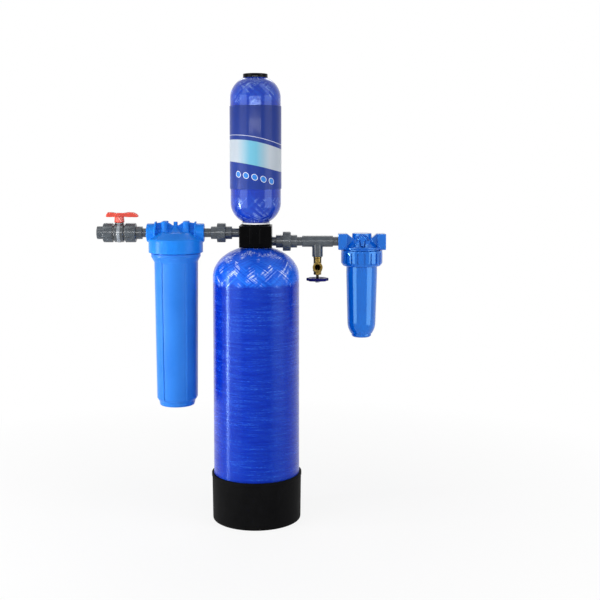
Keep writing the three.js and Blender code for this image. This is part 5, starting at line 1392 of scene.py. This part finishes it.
def valve_body():
    """A threaded neck on each side, a bulge with a raised band, and the stem's tower, with the band carried
    up it
    """
    low, high = box_mm("valve_body")
    left_open = box_mm("inlet_union_nut")[1][X]
    right_open = box_mm("outlet_union_nut")[0][X]
    bulge = VALVE_BULGE_W / 2
    band = VALVE_BAND_W / 2
    shell = turned([
        (0, low[X]),
        (THREAD_ROOT_R, low[X], SMALL_EDGE),
        (THREAD_ROOT_R, left_open, SMALL_EDGE),
        (VALVE_NECK_R, left_open),
        (VALVE_NECK_R, VALVE_X - bulge, VALVE_ROOT),
        (VALVE_BULGE_R, VALVE_X - bulge, VALVE_EDGE),
        (VALVE_BULGE_R, VALVE_X - band, SMALL_EDGE),
        (VALVE_BULGE_R + VALVE_BAND_OUT, VALVE_X - band, SMALL_EDGE),
        (VALVE_BULGE_R + VALVE_BAND_OUT, VALVE_X + band, SMALL_EDGE),
        (VALVE_BULGE_R, VALVE_X + band, SMALL_EDGE),
        (VALVE_BULGE_R, VALVE_X + bulge, VALVE_EDGE),
        (VALVE_NECK_R, VALVE_X + bulge, VALVE_ROOT),
        (VALVE_NECK_R, right_open),
        (THREAD_ROOT_R, right_open, SMALL_EDGE),
        (THREAD_ROOT_R, high[X], SMALL_EDGE),
        (0, high[X]),
    ])
    shell = moved(shell, ALONG_X)
    at_stem = Matrix.Translation((VALVE_X, 0, 0))
    tower = moved(bar(VALVE_TOWER_R, 0, VALVE_TOWER_UP, SMALL_EDGE), at_stem)
    # The band goes on up the tower, painted pale as a highlight like the rest of it
    highlight_band = block(VALVE_BAND_W, 2 * (VALVE_TOWER_R + VALVE_TOWER_BAND_OUT), VALVE_TOWER_UP,
                 (VALVE_X, 0, VALVE_TOWER_UP / 2), VALVE_TOWER_BAND_OUT)
    body = moulded(joined(shell, tower, highlight_band), VALVE_GRAIN, VALVE_SOFT_PASSES)
    carrier_r = box_mm("valve_seat_carrier")[1][Y] + ORING_PLAY
    seat_end = box_mm("valve_seat_right")[1][X] + ORING_PLAY
    return cut(
        body,
        moved(bar(carrier_r, low[X] - OVERRUN, seat_end), ALONG_X),
        moved(bar(PIPE_BORE, low[X], high[X] + OVERRUN), ALONG_X),
        moved(bar(VALVE_STEM_BORE, 0, VALVE_TOWER_UP + OVERRUN), at_stem),
    )


piece("valve_body", valve_body(), Matrix.Translation((0, 0, INLET_Z)), valve_grey)


def valve_handle():
    """T handle: a tapered hub with a wing on each side, soft all over"""
    hub_z = VALVE_TOWER_UP + FIT_PLAY
    wing_z = hub_z + HANDLE_HUB_H - HANDLE_BAR_DROP
    outline = [(x * HANDLE_LONG, z * HANDLE_BAR_H, HANDLE_ROUND) for x, z in HANDLE_LONG_SHARES]
    outline += [(-x * HANDLE_SHORT, z * HANDLE_BAR_H, HANDLE_ROUND) for x, z in HANDLE_SHORT_SHARES]
    wings = moved(prism(outline, -HANDLE_BAR_W / 2, HANDLE_BAR_W / 2),
                  Matrix.Translation((0, 0, wing_z)) @ TO_FRONT)
    bevelled(wings, HANDLE_EDGE)
    hub = turned([
        (0, hub_z),
        (HANDLE_HUB_R, hub_z, SMALL_EDGE),
        (HANDLE_HUB_R - HANDLE_HUB_TAPER, hub_z + HANDLE_HUB_H, HANDLE_EDGE),
        (0, hub_z + HANDLE_HUB_H),
    ])
    body = moulded(joined(hub, wings), HANDLE_GRAIN)
    stem_top = box_mm("valve_stem")[1][Z] - INLET_Z + FIT_PLAY
    return cut(body, bar(STEM_HOLE_R, hub_z - OVERRUN, stem_top))


piece("valve_handle", valve_handle(), AT_VALVE, handle_red)

# Prefilter: cap with two ports, and the sump that screws into it

pre_half = half_length("prefilter_cap")
skirt_z = -PRE_SKIRT_DROP
skirt_top_z = skirt_z + PRE_SKIRT_H
fin_x = pre_half - PRE_PORT_W
pre_roof_z = skirt_z + PRE_ROOF_UP


def prefilter_cap():
    """A skirt and crown under two port barrels, two fins, four bosses, a web and a nub"""
    shell = turned([
        (0, skirt_z),
        (PRE_SKIRT_R, skirt_z, PRE_SKIRT_FOOT_EDGE),
        (PRE_SKIRT_R, skirt_top_z, PRE_SKIRT_EDGE),
        (PRE_CROWN_R, skirt_top_z + PRE_CROWN_H, PRE_CROWN_EDGE),
        (0, skirt_top_z + PRE_CROWN_H),
    ])
    added = []
    for side in (-1, 1):
        added.append(moved(turned([
            (0, fin_x - OVERRUN),
            (PRE_PORT_R, fin_x - OVERRUN),
            (PRE_PORT_R, pre_half, PRE_PORT_EDGE),
            (0, pre_half),
        ]), to_side(side)))
        fin = prism([
            (-PRE_FIN_R, skirt_top_z - PRE_SKIRT_EDGE),
            (PRE_FIN_R, skirt_top_z - PRE_SKIRT_EDGE),
            (PRE_FIN_R, 0, PRE_FIN_ROUND),
            (PRE_FIN_TOP, PRE_FIN_R, PRE_FIN_ROUND),
            (-PRE_FIN_TOP, PRE_FIN_R, PRE_FIN_ROUND),
            (-PRE_FIN_R, 0, PRE_FIN_ROUND),
        ], fin_x - PRE_FIN_W, fin_x)
        added.append(moved(fin, Matrix.Rotation(side * QUARTER, 4, "Z") @ TO_FRONT))
        for front in (-1, 1):
            boss = turned([
                (0, PRE_FLARE_Z),
                (PRE_BOSS_FOOT_R, PRE_FLARE_Z),
                (PRE_BOSS_R, PRE_BOSS_FOOT_UP, PRE_BOSS_FOOT_R),
                (PRE_BOSS_R, PRE_BOSS_UP, SMALL_EDGE),
                (0, PRE_BOSS_UP),
            ])
            added.append(moved(boss, Matrix.Translation((side * PRE_BOSS_X, front * PRE_BOSS_Y, 0))))
    added.append(moved(bar(PRE_SADDLE_R, -fin_x, fin_x), ALONG_X))
    web_top = [
        (PRE_NUB_R, PRE_WEB_UP),
        (PRE_BOSS_X - PRE_BOSS_R, PRE_WEB_BOSS_UP),
        (PRE_BOSS_X + PRE_BOSS_R, PRE_WEB_BOSS_UP),
        (fin_x, PRE_WEB_FIN_UP),
    ]
    web = prism([
        (-fin_x, PRE_FLARE_Z),
        (fin_x, PRE_FLARE_Z),
        *reversed(web_top),
        *[(-x, z) for x, z in web_top],
    ], -PRE_WEB_W / 2, PRE_WEB_W / 2)
    added.append(moved(web, TO_FRONT))
    flare = [(PRE_FLARE_R * share, PRE_FLARE_Z + (PRE_NUB_UP - PRE_FLARE_Z) * rise)
             for share, rise in PRE_FLARE_SHARES]
    added.append(turned([
        (0, PRE_FLARE_Z),
        *flare,
        (PRE_NUB_R, flare[-1][1] + SMALL_EDGE),
        (PRE_NUB_R, PRE_NUB_UP, SMALL_EDGE),
        (0, PRE_NUB_UP),
    ]))
    body = moulded(joined(shell, *added), PRE_GRAIN)
    cutters = [bar(PRE_BORE_R, skirt_z - OVERRUN, pre_roof_z)]
    for side in (-1, 1):
        cutters.append(socket(pre_half, to_side(side)))
        for front in (-1, 1):
            cutters.append(moved(bar(PRE_SCREW_R, PRE_BOSS_UP - PRE_SCREW_H, PRE_BOSS_UP + OVERRUN),
                                 Matrix.Translation((side * PRE_BOSS_X, front * PRE_BOSS_Y, 0))))
    return cut(body, *cutters)


piece("prefilter_cap", prefilter_cap(), AT_PREFILTER, sump_blue)


def prefilter_sump():
    """A long cup with a flange, a threaded mouth, upright ribs and a stepped foot"""
    low, high = box_mm("prefilter_sump")
    low_z = low[Z] - INLET_Z
    top_z = high[Z] - INLET_Z
    flange_z = skirt_z - SUMP_SEAM
    cone_z = flange_z - SUMP_FLANGE_H - SUMP_CONE_H
    foot_z = low_z + SUMP_FOOT_H
    body_z = foot_z + SUMP_STEP_H
    floor_z = low_z + SUMP_FLOOR
    body = turned([
        (0, low_z),
        (SUMP_FOOT_LOW_R, low_z, SUMP_FOOT_EDGE),
        (SUMP_FOOT_R, foot_z, SUMP_STEP_EDGE),
        (SUMP_LOW_R, body_z, SUMP_STEP_EDGE),
        (SUMP_TOP_R, cone_z, SUMP_CONE_EDGE),
        (SUMP_FLANGE_R, cone_z + SUMP_CONE_H, SUMP_STEP_EDGE),
        (SUMP_FLANGE_R, flange_z, SUMP_STEP_EDGE),
        (SUMP_THREAD_R, flange_z),
        (SUMP_THREAD_R, top_z - SUMP_GROOVE_H),
        (SUMP_GROOVE_R, top_z - SUMP_GROOVE_H),
        (SUMP_GROOVE_R, top_z),
        (SUMP_MOUTH_R, top_z),
        (SUMP_MOUTH_R, cone_z + SUMP_CONE_H),
        (SUMP_TOP_R - SUMP_WALL, cone_z),
        (SUMP_LOW_R - SUMP_WALL, body_z + SUMP_WALL),
        (SUMP_FOOT_R - SUMP_WALL, foot_z),
        (SUMP_FOOT_LOW_R - SUMP_WALL, floor_z),
        (SUMP_PILOT_R, floor_z),
        (SUMP_PILOT_R, floor_z + SUMP_PILOT_H, SMALL_EDGE),
        (0, floor_z + SUMP_PILOT_H),
    ], FINE_SIDES)
    threaded(body, SUMP_THREAD_R, SUMP_THREAD_TIP, SUMP_THREAD_PITCH, SUMP_THREAD_TURNS,
             flange_z + SUMP_THREAD_START, sump_blue)
    height = cone_z - body_z
    lean = math.atan((SUMP_TOP_R - SUMP_LOW_R) / height)
    rib = block(SUMP_RIB_W, 2 * SUMP_RIB_OUT + SUMP_WALL, height + SUMP_CONE_H / 2, (0, 0, 0),
                SUMP_RIB_ROUND)
    bevelled(rib, SUMP_RIB_ROUND)
    moved(rib, Matrix.Translation((0, (SUMP_TOP_R + SUMP_LOW_R - SUMP_WALL) / 2,
                                   (cone_z + body_z) / 2 + SUMP_RIB_LIFT))
          @ Matrix.Rotation(-lean, 4, "X"))
    return round_the_axis(body, rib, SUMP_RIBS, sump_blue)


piece("prefilter_sump", prefilter_sump(), AT_PREFILTER, sump_low_blue)

# Drain tee and drain valve


def drain_tee():
    """A run with a socket at each end, and a branch down with a threaded hole"""
    half = half_length("drain_tee")
    run = moved(bar(TEE_R, -half, half, HUB_EDGE), ALONG_X)
    branch = bar(TEE_BRANCH_R, -TEE_BRANCH_DROP, 0, SMALL_EDGE)
    body = moulded(joined(run, branch), TEE_GRAIN, TEE_SOFT_PASSES)
    barrel_top = box_mm("drain_valve_body")[1][Z] - OUTLET_Z
    return cut(
        body,
        moved(bar(PIPE_BORE, -half - OVERRUN, half + OVERRUN), ALONG_X),
        socket(half, ALONG_X),
        moved(bar(SOCKET_R, -half - OVERRUN, SOCKET_DEPTH - half), ALONG_X),
        bar(PIPE_BORE, -TEE_BRANCH_DROP, 0),
        bar(TEE_THREAD_BORE, -TEE_BRANCH_DROP - OVERRUN, barrel_top + FIT_PLAY),
    )


piece("drain_tee", drain_tee(), AT_TEE, pvc_grey)

valve_box_low, valve_box_high = box_mm("drain_valve_body")
barrel_low_z = valve_box_low[Z] - OUTLET_Z
barrel_z = barrel_low_z + BARREL_H
spout_z = barrel_z - SPOUT_DOWN


def drain_valve_body():
    """An upright barrel with a collar, a spout to the front and a threaded spigot"""
    barrel = turned([
        (0, barrel_low_z),
        (BARREL_COLLAR_R, barrel_low_z, BRASS_EDGE),
        (BARREL_COLLAR_R, barrel_low_z + BARREL_COLLAR_H, BRASS_EDGE),
        (BARREL_R - BRASS_EDGE, barrel_low_z + BARREL_COLLAR_H + BRASS_EDGE, BRASS_EDGE),
        (BARREL_R - BRASS_EDGE, barrel_z - BARREL_COLLAR_H, BRASS_EDGE),
        (BARREL_R, barrel_z - BARREL_COLLAR_H + BRASS_EDGE, BRASS_EDGE),
        (BARREL_R, barrel_z, BRASS_EDGE),
        (0, barrel_z),
    ])
    to_spout = Matrix.Translation((0, 0, spout_z)) @ TO_FRONT
    spout = moved(turned([
        (0, 0),
        (SPOUT_R, 0),
        (SPOUT_R, SPOUT_LENGTH - SPOUT_LIP_W, BRASS_EDGE),
        (SPOUT_LIP_R, SPOUT_LENGTH - SPOUT_LIP_W, BRASS_EDGE),
        (SPOUT_LIP_R, SPOUT_LENGTH, BRASS_EDGE),
        (0, SPOUT_LENGTH),
    ]), to_spout)
    body = moulded(joined(barrel, spout), BRASS_GRAIN)
    seat_z = box_mm("drain_seat_disc")[1][Z] - OUTLET_Z + FIT_PLAY
    top_z = valve_box_high[Z] - OUTLET_Z
    body = joined(body, bar(DRAIN_THREAD_R, barrel_z - OVERRUN, top_z, BRASS_EDGE))
    return cut(
        body,
        bar(DRAIN_BORE, seat_z - OVERRUN, top_z + OVERRUN),
        bar(DRAIN_CHAMBER_R, barrel_low_z - OVERRUN, seat_z),
        moved(bar(SPOUT_BORE, 0, SPOUT_LENGTH + OVERRUN), to_spout),
    )


piece("drain_valve_body", drain_valve_body(), AT_TEE, cast_brass)

nut_low, nut_high = box_mm("drain_packing_nut")
nut_low_z = nut_low[Z] - OUTLET_Z
nut_z = nut_low_z + PACKING_H


def packing_nut():
    """A six-sided nut on a round shank, bored for the stem"""
    hexagon = turned([
        (STEM_R + THREAD_PLAY, nut_low_z),
        (PACKING_R, nut_low_z),
        (PACKING_R, nut_z),
        (STEM_R + THREAD_PLAY, nut_z),
    ], PACKING_SIDES)
    bevelled(hexagon, BRASS_EDGE)
    shank = tube(PACKING_SHANK_R, STEM_R + THREAD_PLAY, nut_z - OVERRUN, nut_high[Z] - OUTLET_Z)
    return joined(hexagon, shank)


piece("drain_packing_nut", packing_nut(), AT_TEE, cast_brass)

wheel_z = box_mm("drain_handwheel")[1][Z] - OUTLET_Z


def handwheel():
    """Cast handwheel: a rim with round lobes, a hub, and windows between them"""
    low_z = wheel_z - WHEEL_T
    wheel = bar(WHEEL_VALLEY_R, low_z, wheel_z, WHEEL_EDGE)
    lobe = moved(bar(WHEEL_LOBE_R, low_z, wheel_z, WHEEL_EDGE),
                 Matrix.Translation((WHEEL_R - WHEEL_LOBE_R, 0, 0)))
    round_the_axis(wheel, lobe, WHEEL_LOBES, wheel_navy)
    joined(wheel, bar(WHEEL_HUB_R, wheel_z - WHEEL_HUB_H, wheel_z, WHEEL_EDGE))
    moulded(wheel, WHEEL_GRAIN)
    window = moved(bar(WHEEL_WINDOW_R, low_z - OVERRUN, wheel_z + OVERRUN),
                   Matrix.Translation((WHEEL_WINDOW_OUT, 0, 0)))
    round_the_axis(wheel, window, WHEEL_WINDOWS, wheel_navy, math.pi / WHEEL_WINDOWS, "DIFFERENCE")
    return cut(wheel, bar(STEM_R + FIT_PLAY, wheel_z - WHEEL_HUB_H - OVERRUN, wheel_z + OVERRUN))


piece("drain_handwheel", handwheel(), AT_TEE, wheel_navy)


def wheel_screw():
    """A slotted screw, its head down under the handwheel"""
    low, high = box_mm("handwheel_screw")
    low_z = low[Z] - OUTLET_Z
    head_z = low_z + WHEEL_SCREW_H
    screw = turned([
        (0, low_z),
        (WHEEL_SCREW_R, low_z, WHEEL_SCREW_ROUND),
        (WHEEL_SCREW_R, head_z),
        (WHEEL_SHANK_R, head_z),
        (WHEEL_SHANK_R, high[Z] - OUTLET_Z),
        (0, high[Z] - OUTLET_Z),
    ])
    slot = block(2 * WHEEL_SCREW_R + OVERRUN, WHEEL_SLOT_W, WHEEL_SLOT_DEPTH * 2, (0, 0, low_z))
    return cut(screw, slot)


piece("handwheel_screw", wheel_screw(), AT_TEE, bolt_steel)

# Post filter: head, ribbed ring nut and bowl

post_half = half_length("postfilter_head")
post_rim_z = -POST_RIM_DROP
post_rim_top_z = post_rim_z + POST_RIM_H
ring_top_z = -POST_PORT_DROP - POST_UNDER_H
post_neck_z = ring_top_z - POST_NECK_H


def plug(grow):
    """The tapered boss under the hood, or with a width to grow by, the pocket that it stands in"""
    low_x = POST_PLUG_LOW_W / 2 + grow
    top_x = POST_PLUG_TOP_W / 2 + grow
    return moved(prism([
        (-low_x, POST_PLUG_LOW - grow),
        (low_x, POST_PLUG_LOW - grow),
        (top_x, POST_PLUG_TOP),
        (-top_x, POST_PLUG_TOP),
    ], POST_SLIT_Y - POST_SLIT_W + grow, POST_CONE_R + grow), TO_FRONT)


def postfilter_head():
    """Two square ports on a bridge, a cone and crown, a round hood, and a threaded neck"""
    slope_x = post_half - POST_PORT_FLAT
    saddle_x = slope_x - POST_PORT_SLOPE
    saddle_z = POST_PORT_RISE - POST_SADDLE_DROP
    bridge = moved(prism([
        (-slope_x - OVERRUN, -POST_PORT_DROP),
        (slope_x + OVERRUN, -POST_PORT_DROP),
        (slope_x + OVERRUN, POST_PORT_RISE),
        (slope_x, POST_PORT_RISE),
        (saddle_x, saddle_z),
        (-saddle_x, saddle_z),
        (-slope_x, POST_PORT_RISE),
        (-slope_x - OVERRUN, POST_PORT_RISE),
    ], -POST_BRIDGE_D / 2, POST_BRIDGE_D / 2), TO_FRONT)
    ports = []
    for side in (-1, 1):
        port = block(POST_PORT_FLAT, POST_PORT_D, POST_PORT_DROP + POST_PORT_RISE,
                     (side * (post_half - POST_PORT_FLAT / 2), 0, (POST_PORT_RISE - POST_PORT_DROP) / 2))
        ports.append(bevelled(port, POST_PORT_EDGE))
    crown = turned([
        (0, ring_top_z),
        (POST_UNDER_R, ring_top_z),
        (POST_UNDER_R, post_rim_z),
        (POST_RIM_R, post_rim_z, SMALL_EDGE),
        (POST_RIM_R, post_rim_top_z, SMALL_EDGE),
        (POST_CONE_R, post_rim_top_z, POST_CONE_ROOT),
        (POST_CROWN_ROOT_R, post_rim_top_z + POST_CONE_H, POST_CONE_ROOT),
        (POST_CROWN_R, POST_CROWN_RISE, POST_CROWN_EDGE),
        (0, POST_CROWN_RISE),
    ])
    up = Matrix.Translation((0, 0, POST_HOOD_UP))
    hood = moved(bar(POST_HOOD_R, 0, POST_HOOD_Y, SMALL_EDGE), up @ TO_FRONT)
    groove = moved(tube(POST_ARCH_R, POST_ARCH_R - POST_ARCH_W, POST_HOOD_Y - POST_ARCH_IN,
                        POST_HOOD_Y + OVERRUN), up @ TO_FRONT)
    lower_half = block(2 * POST_CONE_R, 2 * POST_CONE_R, POST_CONE_R,
                       (0, 0, POST_ARCH_LOW - POST_CONE_R / 2))
    slit = cut(plug(POST_SLIT_W), plug(0))
    body = cut(joined(crown, bridge, hood, *ports), cut(groove, lower_half), slit)
    body = moulded(body, POST_GRAIN)
    neck = bar(POST_NECK_R, post_neck_z, ring_top_z + OVERRUN)
    threaded(neck, POST_NECK_R, POST_THREAD_TIP, POST_THREAD_PITCH, POST_THREAD_TURNS,
             post_neck_z + POST_THREAD_START, post_blue)
    body = joined(body, neck)
    bore = bar(POST_NECK_BORE, post_neck_z - OVERRUN, ring_top_z - POST_ROOF_H)
    return cut(body, bore, *[socket(post_half, to_side(side)) for side in (-1, 1)])


piece("postfilter_head", postfilter_head(), AT_POSTFILTER, post_blue)


def ring_nut():
    """A ring nut with a rounded lower edge and upright ribs under a plain band"""
    low, high = box_mm("postfilter_ring_nut")
    low_z = low[Z] - OUTLET_Z
    high_z = high[Z] - OUTLET_Z
    ring = turned([
        (RING_LIP_BORE, low_z, SMALL_EDGE),
        (RING_R - RING_ROUND_IN, low_z, RING_ROUND_IN),
        (RING_R, low_z + RING_ROUND_H, RING_ROUND_IN),
        (RING_R, high_z, RING_EDGE),
        (RING_BORE, high_z, SMALL_EDGE),
        (RING_BORE, low_z + RING_LIP_H),
        (RING_LIP_BORE, low_z + RING_LIP_H),
    ], FINE_SIDES)
    gap = TAU * RING_R / RING_RIBS - RING_RIB_W
    groove = prism([
        (-gap / 2, low_z - OVERRUN),
        (gap / 2, low_z - OVERRUN),
        (gap / 2, high_z - RING_BAND_H, gap / 2),
        (-gap / 2, high_z - RING_BAND_H, gap / 2),
    ], RING_R - RING_RIB_H, RING_R + OVERRUN)
    moved(groove, TO_FRONT)
    return round_the_axis(ring, groove, RING_RIBS, post_blue, RING_PHASE, "DIFFERENCE")


piece("postfilter_ring_nut", ring_nut(), AT_POSTFILTER, post_blue)


def bowl():
    """A tapered cup with a rounded end and foot, a flange, and a groove for its O-ring"""
    low, high = box_mm("postfilter_bowl")
    low_z = low[Z] - OUTLET_Z
    top_z = high[Z] - OUTLET_Z
    flange_z = top_z - BOWL_SPIGOT_H - BOWL_FLANGE_H
    taper_z = flange_z - BOWL_NECK_H
    round_z = taper_z - BOWL_TAPER_H
    foot_z = round_z - BOWL_ROUND_H
    oring_low, oring_high = box_mm("postfilter_oring")
    groove_r = oring_high[Y] - (oring_high[Z] - oring_low[Z]) + ORING_PLAY / 2
    groove_low = oring_low[Z] - OUTLET_Z - ORING_PLAY
    groove_high = oring_high[Z] - OUTLET_Z + ORING_PLAY
    lower_end = [(BOWL_LOW_R * share, foot_z + BOWL_ROUND_H * rise) for share, rise in BOWL_ROUND_SHARES]
    return turned([
        (0, low_z),
        (BOWL_FOOT_R - BOWL_FOOT_EDGE, low_z, BOWL_FOOT_EDGE),
        (BOWL_FOOT_R, low_z + BOWL_FOOT_EDGE, BOWL_FOOT_EDGE),
        (BOWL_FOOT_R, foot_z, BOWL_ROOT),
        *reversed(lower_end),
        (BOWL_LOW_R, round_z, BOWL_FOOT_EDGE),
        (BOWL_TOP_R, taper_z, BOWL_FOOT_EDGE),
        (BOWL_TOP_R, flange_z),
        (BOWL_FLANGE_R, flange_z, SMALL_EDGE),
        (BOWL_FLANGE_R, flange_z + BOWL_FLANGE_H, SMALL_EDGE),
        (BOWL_SPIGOT_R, flange_z + BOWL_FLANGE_H),
        (BOWL_SPIGOT_R, groove_low),
        (groove_r, groove_low),
        (groove_r, groove_high),
        (BOWL_SPIGOT_R, groove_high),
        (BOWL_SPIGOT_R, top_z, SMALL_EDGE),
        (BOWL_TOP_R - BOWL_WALL, top_z),
        (BOWL_TOP_R - BOWL_WALL, taper_z),
        (BOWL_LOW_R - BOWL_WALL, round_z),
        (BOWL_SEAT_R, foot_z + BOWL_SEAT_UP),
        (BOWL_PILOT_R, foot_z + BOWL_SEAT_UP),
        (BOWL_PILOT_R, foot_z + BOWL_SEAT_UP + BOWL_PILOT_H, SMALL_EDGE),
        (0, foot_z + BOWL_SEAT_UP + BOWL_PILOT_H),
    ], FINE_SIDES)


piece("postfilter_bowl", bowl(), AT_POSTFILTER, post_blue)

# Inner pieces keep their solid shapes and get their real finish

INNER_FINISHES = {
    natural_white: ("bottom_distributor", "main_riser_tube", "upper_strainer", "upper_riser_tube",
                    "valve_seat_left", "valve_seat_right", "valve_ball"),
    pvc_grey: ("valve_seat_carrier", "valve_stem"),
    seal_rubber: ("tank_neck_oring", "upper_cap_oring", "left_union_oring", "right_union_oring",
                  "stem_oring", "sump_oring", "postfilter_oring", "drain_seat_disc"),
    gravel_grey: ("gravel_bed",),
    carbon_black: ("main_media_bed", "upper_media_bed"),
    filter_white: ("prefilter_cartridge", "postfilter_cartridge"),
    stem_brass: ("drain_stem",),
}
for finish, nodes in INNER_FINISHES.items():
    for node in nodes:
        for slot in frame["nodes"][node].material_slots:
            slot.material = finish

# Floor, light and camera

scene = bpy.context.scene
scene.view_settings.view_transform = "Standard"


def seen_share(tree):
    """1 for rays that the camera, a reflection or a clear piece sends, 0 for the light they gather"""
    rays = tree.nodes.new("ShaderNodeLightPath").outputs
    seen = rays["Is Camera Ray"]
    for other in ("Is Glossy Ray", "Is Transmission Ray"):
        seen = add(tree, "ShaderNodeMath", {0: seen, 1: rays[other]}, operation="MAXIMUM")
    return seen


world = bpy.data.worlds.new("white_studio")
world.use_nodes = True
scene.world = world
studio = world.node_tree
backdrop = studio.nodes["Background"]
backdrop.inputs["Color"].default_value = linear(WHITE)
strength = add(studio, "ShaderNodeMapRange", {"Value": seen_share(studio), **between(0, 1, FILL_LIGHT, 1.0)})
link(studio, strength, backdrop.inputs["Strength"])

floor = turned([(0, 0), (FLOOR_R, 0), (FLOOR_R, -FLOOR_T), (0, -FLOOR_T)])
floor.data.transform(Matrix.Scale(MM, 4))
floor.name = "studio_floor"
paper = bpy.data.materials.new("white_studio_paper")
paper.use_nodes = True
tree = paper.node_tree
matte = tree.nodes["Principled BSDF"]
matte.inputs["Base Color"].default_value = linear(FLOOR_PAPER)
matte.inputs["Roughness"].default_value = FLOOR_ROUGHNESS
glow = add(tree, "ShaderNodeEmission", {"Color": linear(WHITE), "Strength": 1.0})
place = tree.nodes.new("ShaderNodeTexCoord").outputs["Object"]
away = add(tree, "ShaderNodeVectorMath", {0: place}, operation="LENGTH")
fade = add(tree, "ShaderNodeMapRange", {
    "Value": away, **between(FLOOR_FADE_FROM, FLOOR_FADE_TO, FLOOR_GLOW_SHARE, 1.0)})
share = add(tree, "ShaderNodeMath", {0: seen_share(tree), 1: fade}, operation="MULTIPLY")
blend = add(tree, "ShaderNodeMixShader", {0: share, 1: matte, 2: glow})
link(tree, blend, tree.nodes["Material Output"].inputs["Surface"])
floor.data.materials.append(paper)


def round_about(away, azimuth, level):
    """A place that looks at the filter from an azimuth, which counts from the front"""
    angle = math.radians(azimuth)
    return (away * math.sin(angle), -away * math.cos(angle), level)


def softbox(name, place, aim, wide, high, watts):
    """A softbox at a place, turned to what it aims at"""
    lamp = bpy.data.lights.new(name, "AREA")
    lamp.shape = "RECTANGLE"
    lamp.size = wide
    lamp.size_y = high
    lamp.energy = watts
    holder = bpy.data.objects.new(name, lamp)
    holder.location = place
    holder.rotation_euler = (Vector(aim) - Vector(place)).to_track_quat("-Z", "Y").to_euler()
    scene.collection.objects.link(holder)


for name, azimuth, wide, level, high, watts in SIDE_SOFTBOXES:
    softbox(name, round_about(SOFTBOX_AWAY, azimuth, level), (0, 0, level), wide, high, watts)
for name, azimuth, watts in HIGH_SOFTBOXES:
    softbox(name, round_about(HIGH_AWAY, azimuth, HIGH_Z), HIGH_AIM, HIGH_W, HIGH_H, watts)
softbox("front_strip", STRIP_PLACE, STRIP_AIM, STRIP_W, STRIP_D, STRIP_WATTS)
softbox("rear_softbox", REAR_BOX_PLACE, REAR_BOX_AIM, REAR_BOX_W, REAR_BOX_D, REAR_BOX_WATTS)

lens = bpy.data.cameras.new("camera")
lens.sensor_width = CAMERA_FILM_W
lens.lens = CAMERA_LENS
lens.shift_y = CAMERA_SHIFT_SHARE
camera = bpy.data.objects.new("camera", lens)
camera.location = CAMERA_PLACE
camera.rotation_euler = (math.radians(CAMERA_TILT), 0, 0)
scene.collection.objects.link(camera)
scene.camera = camera
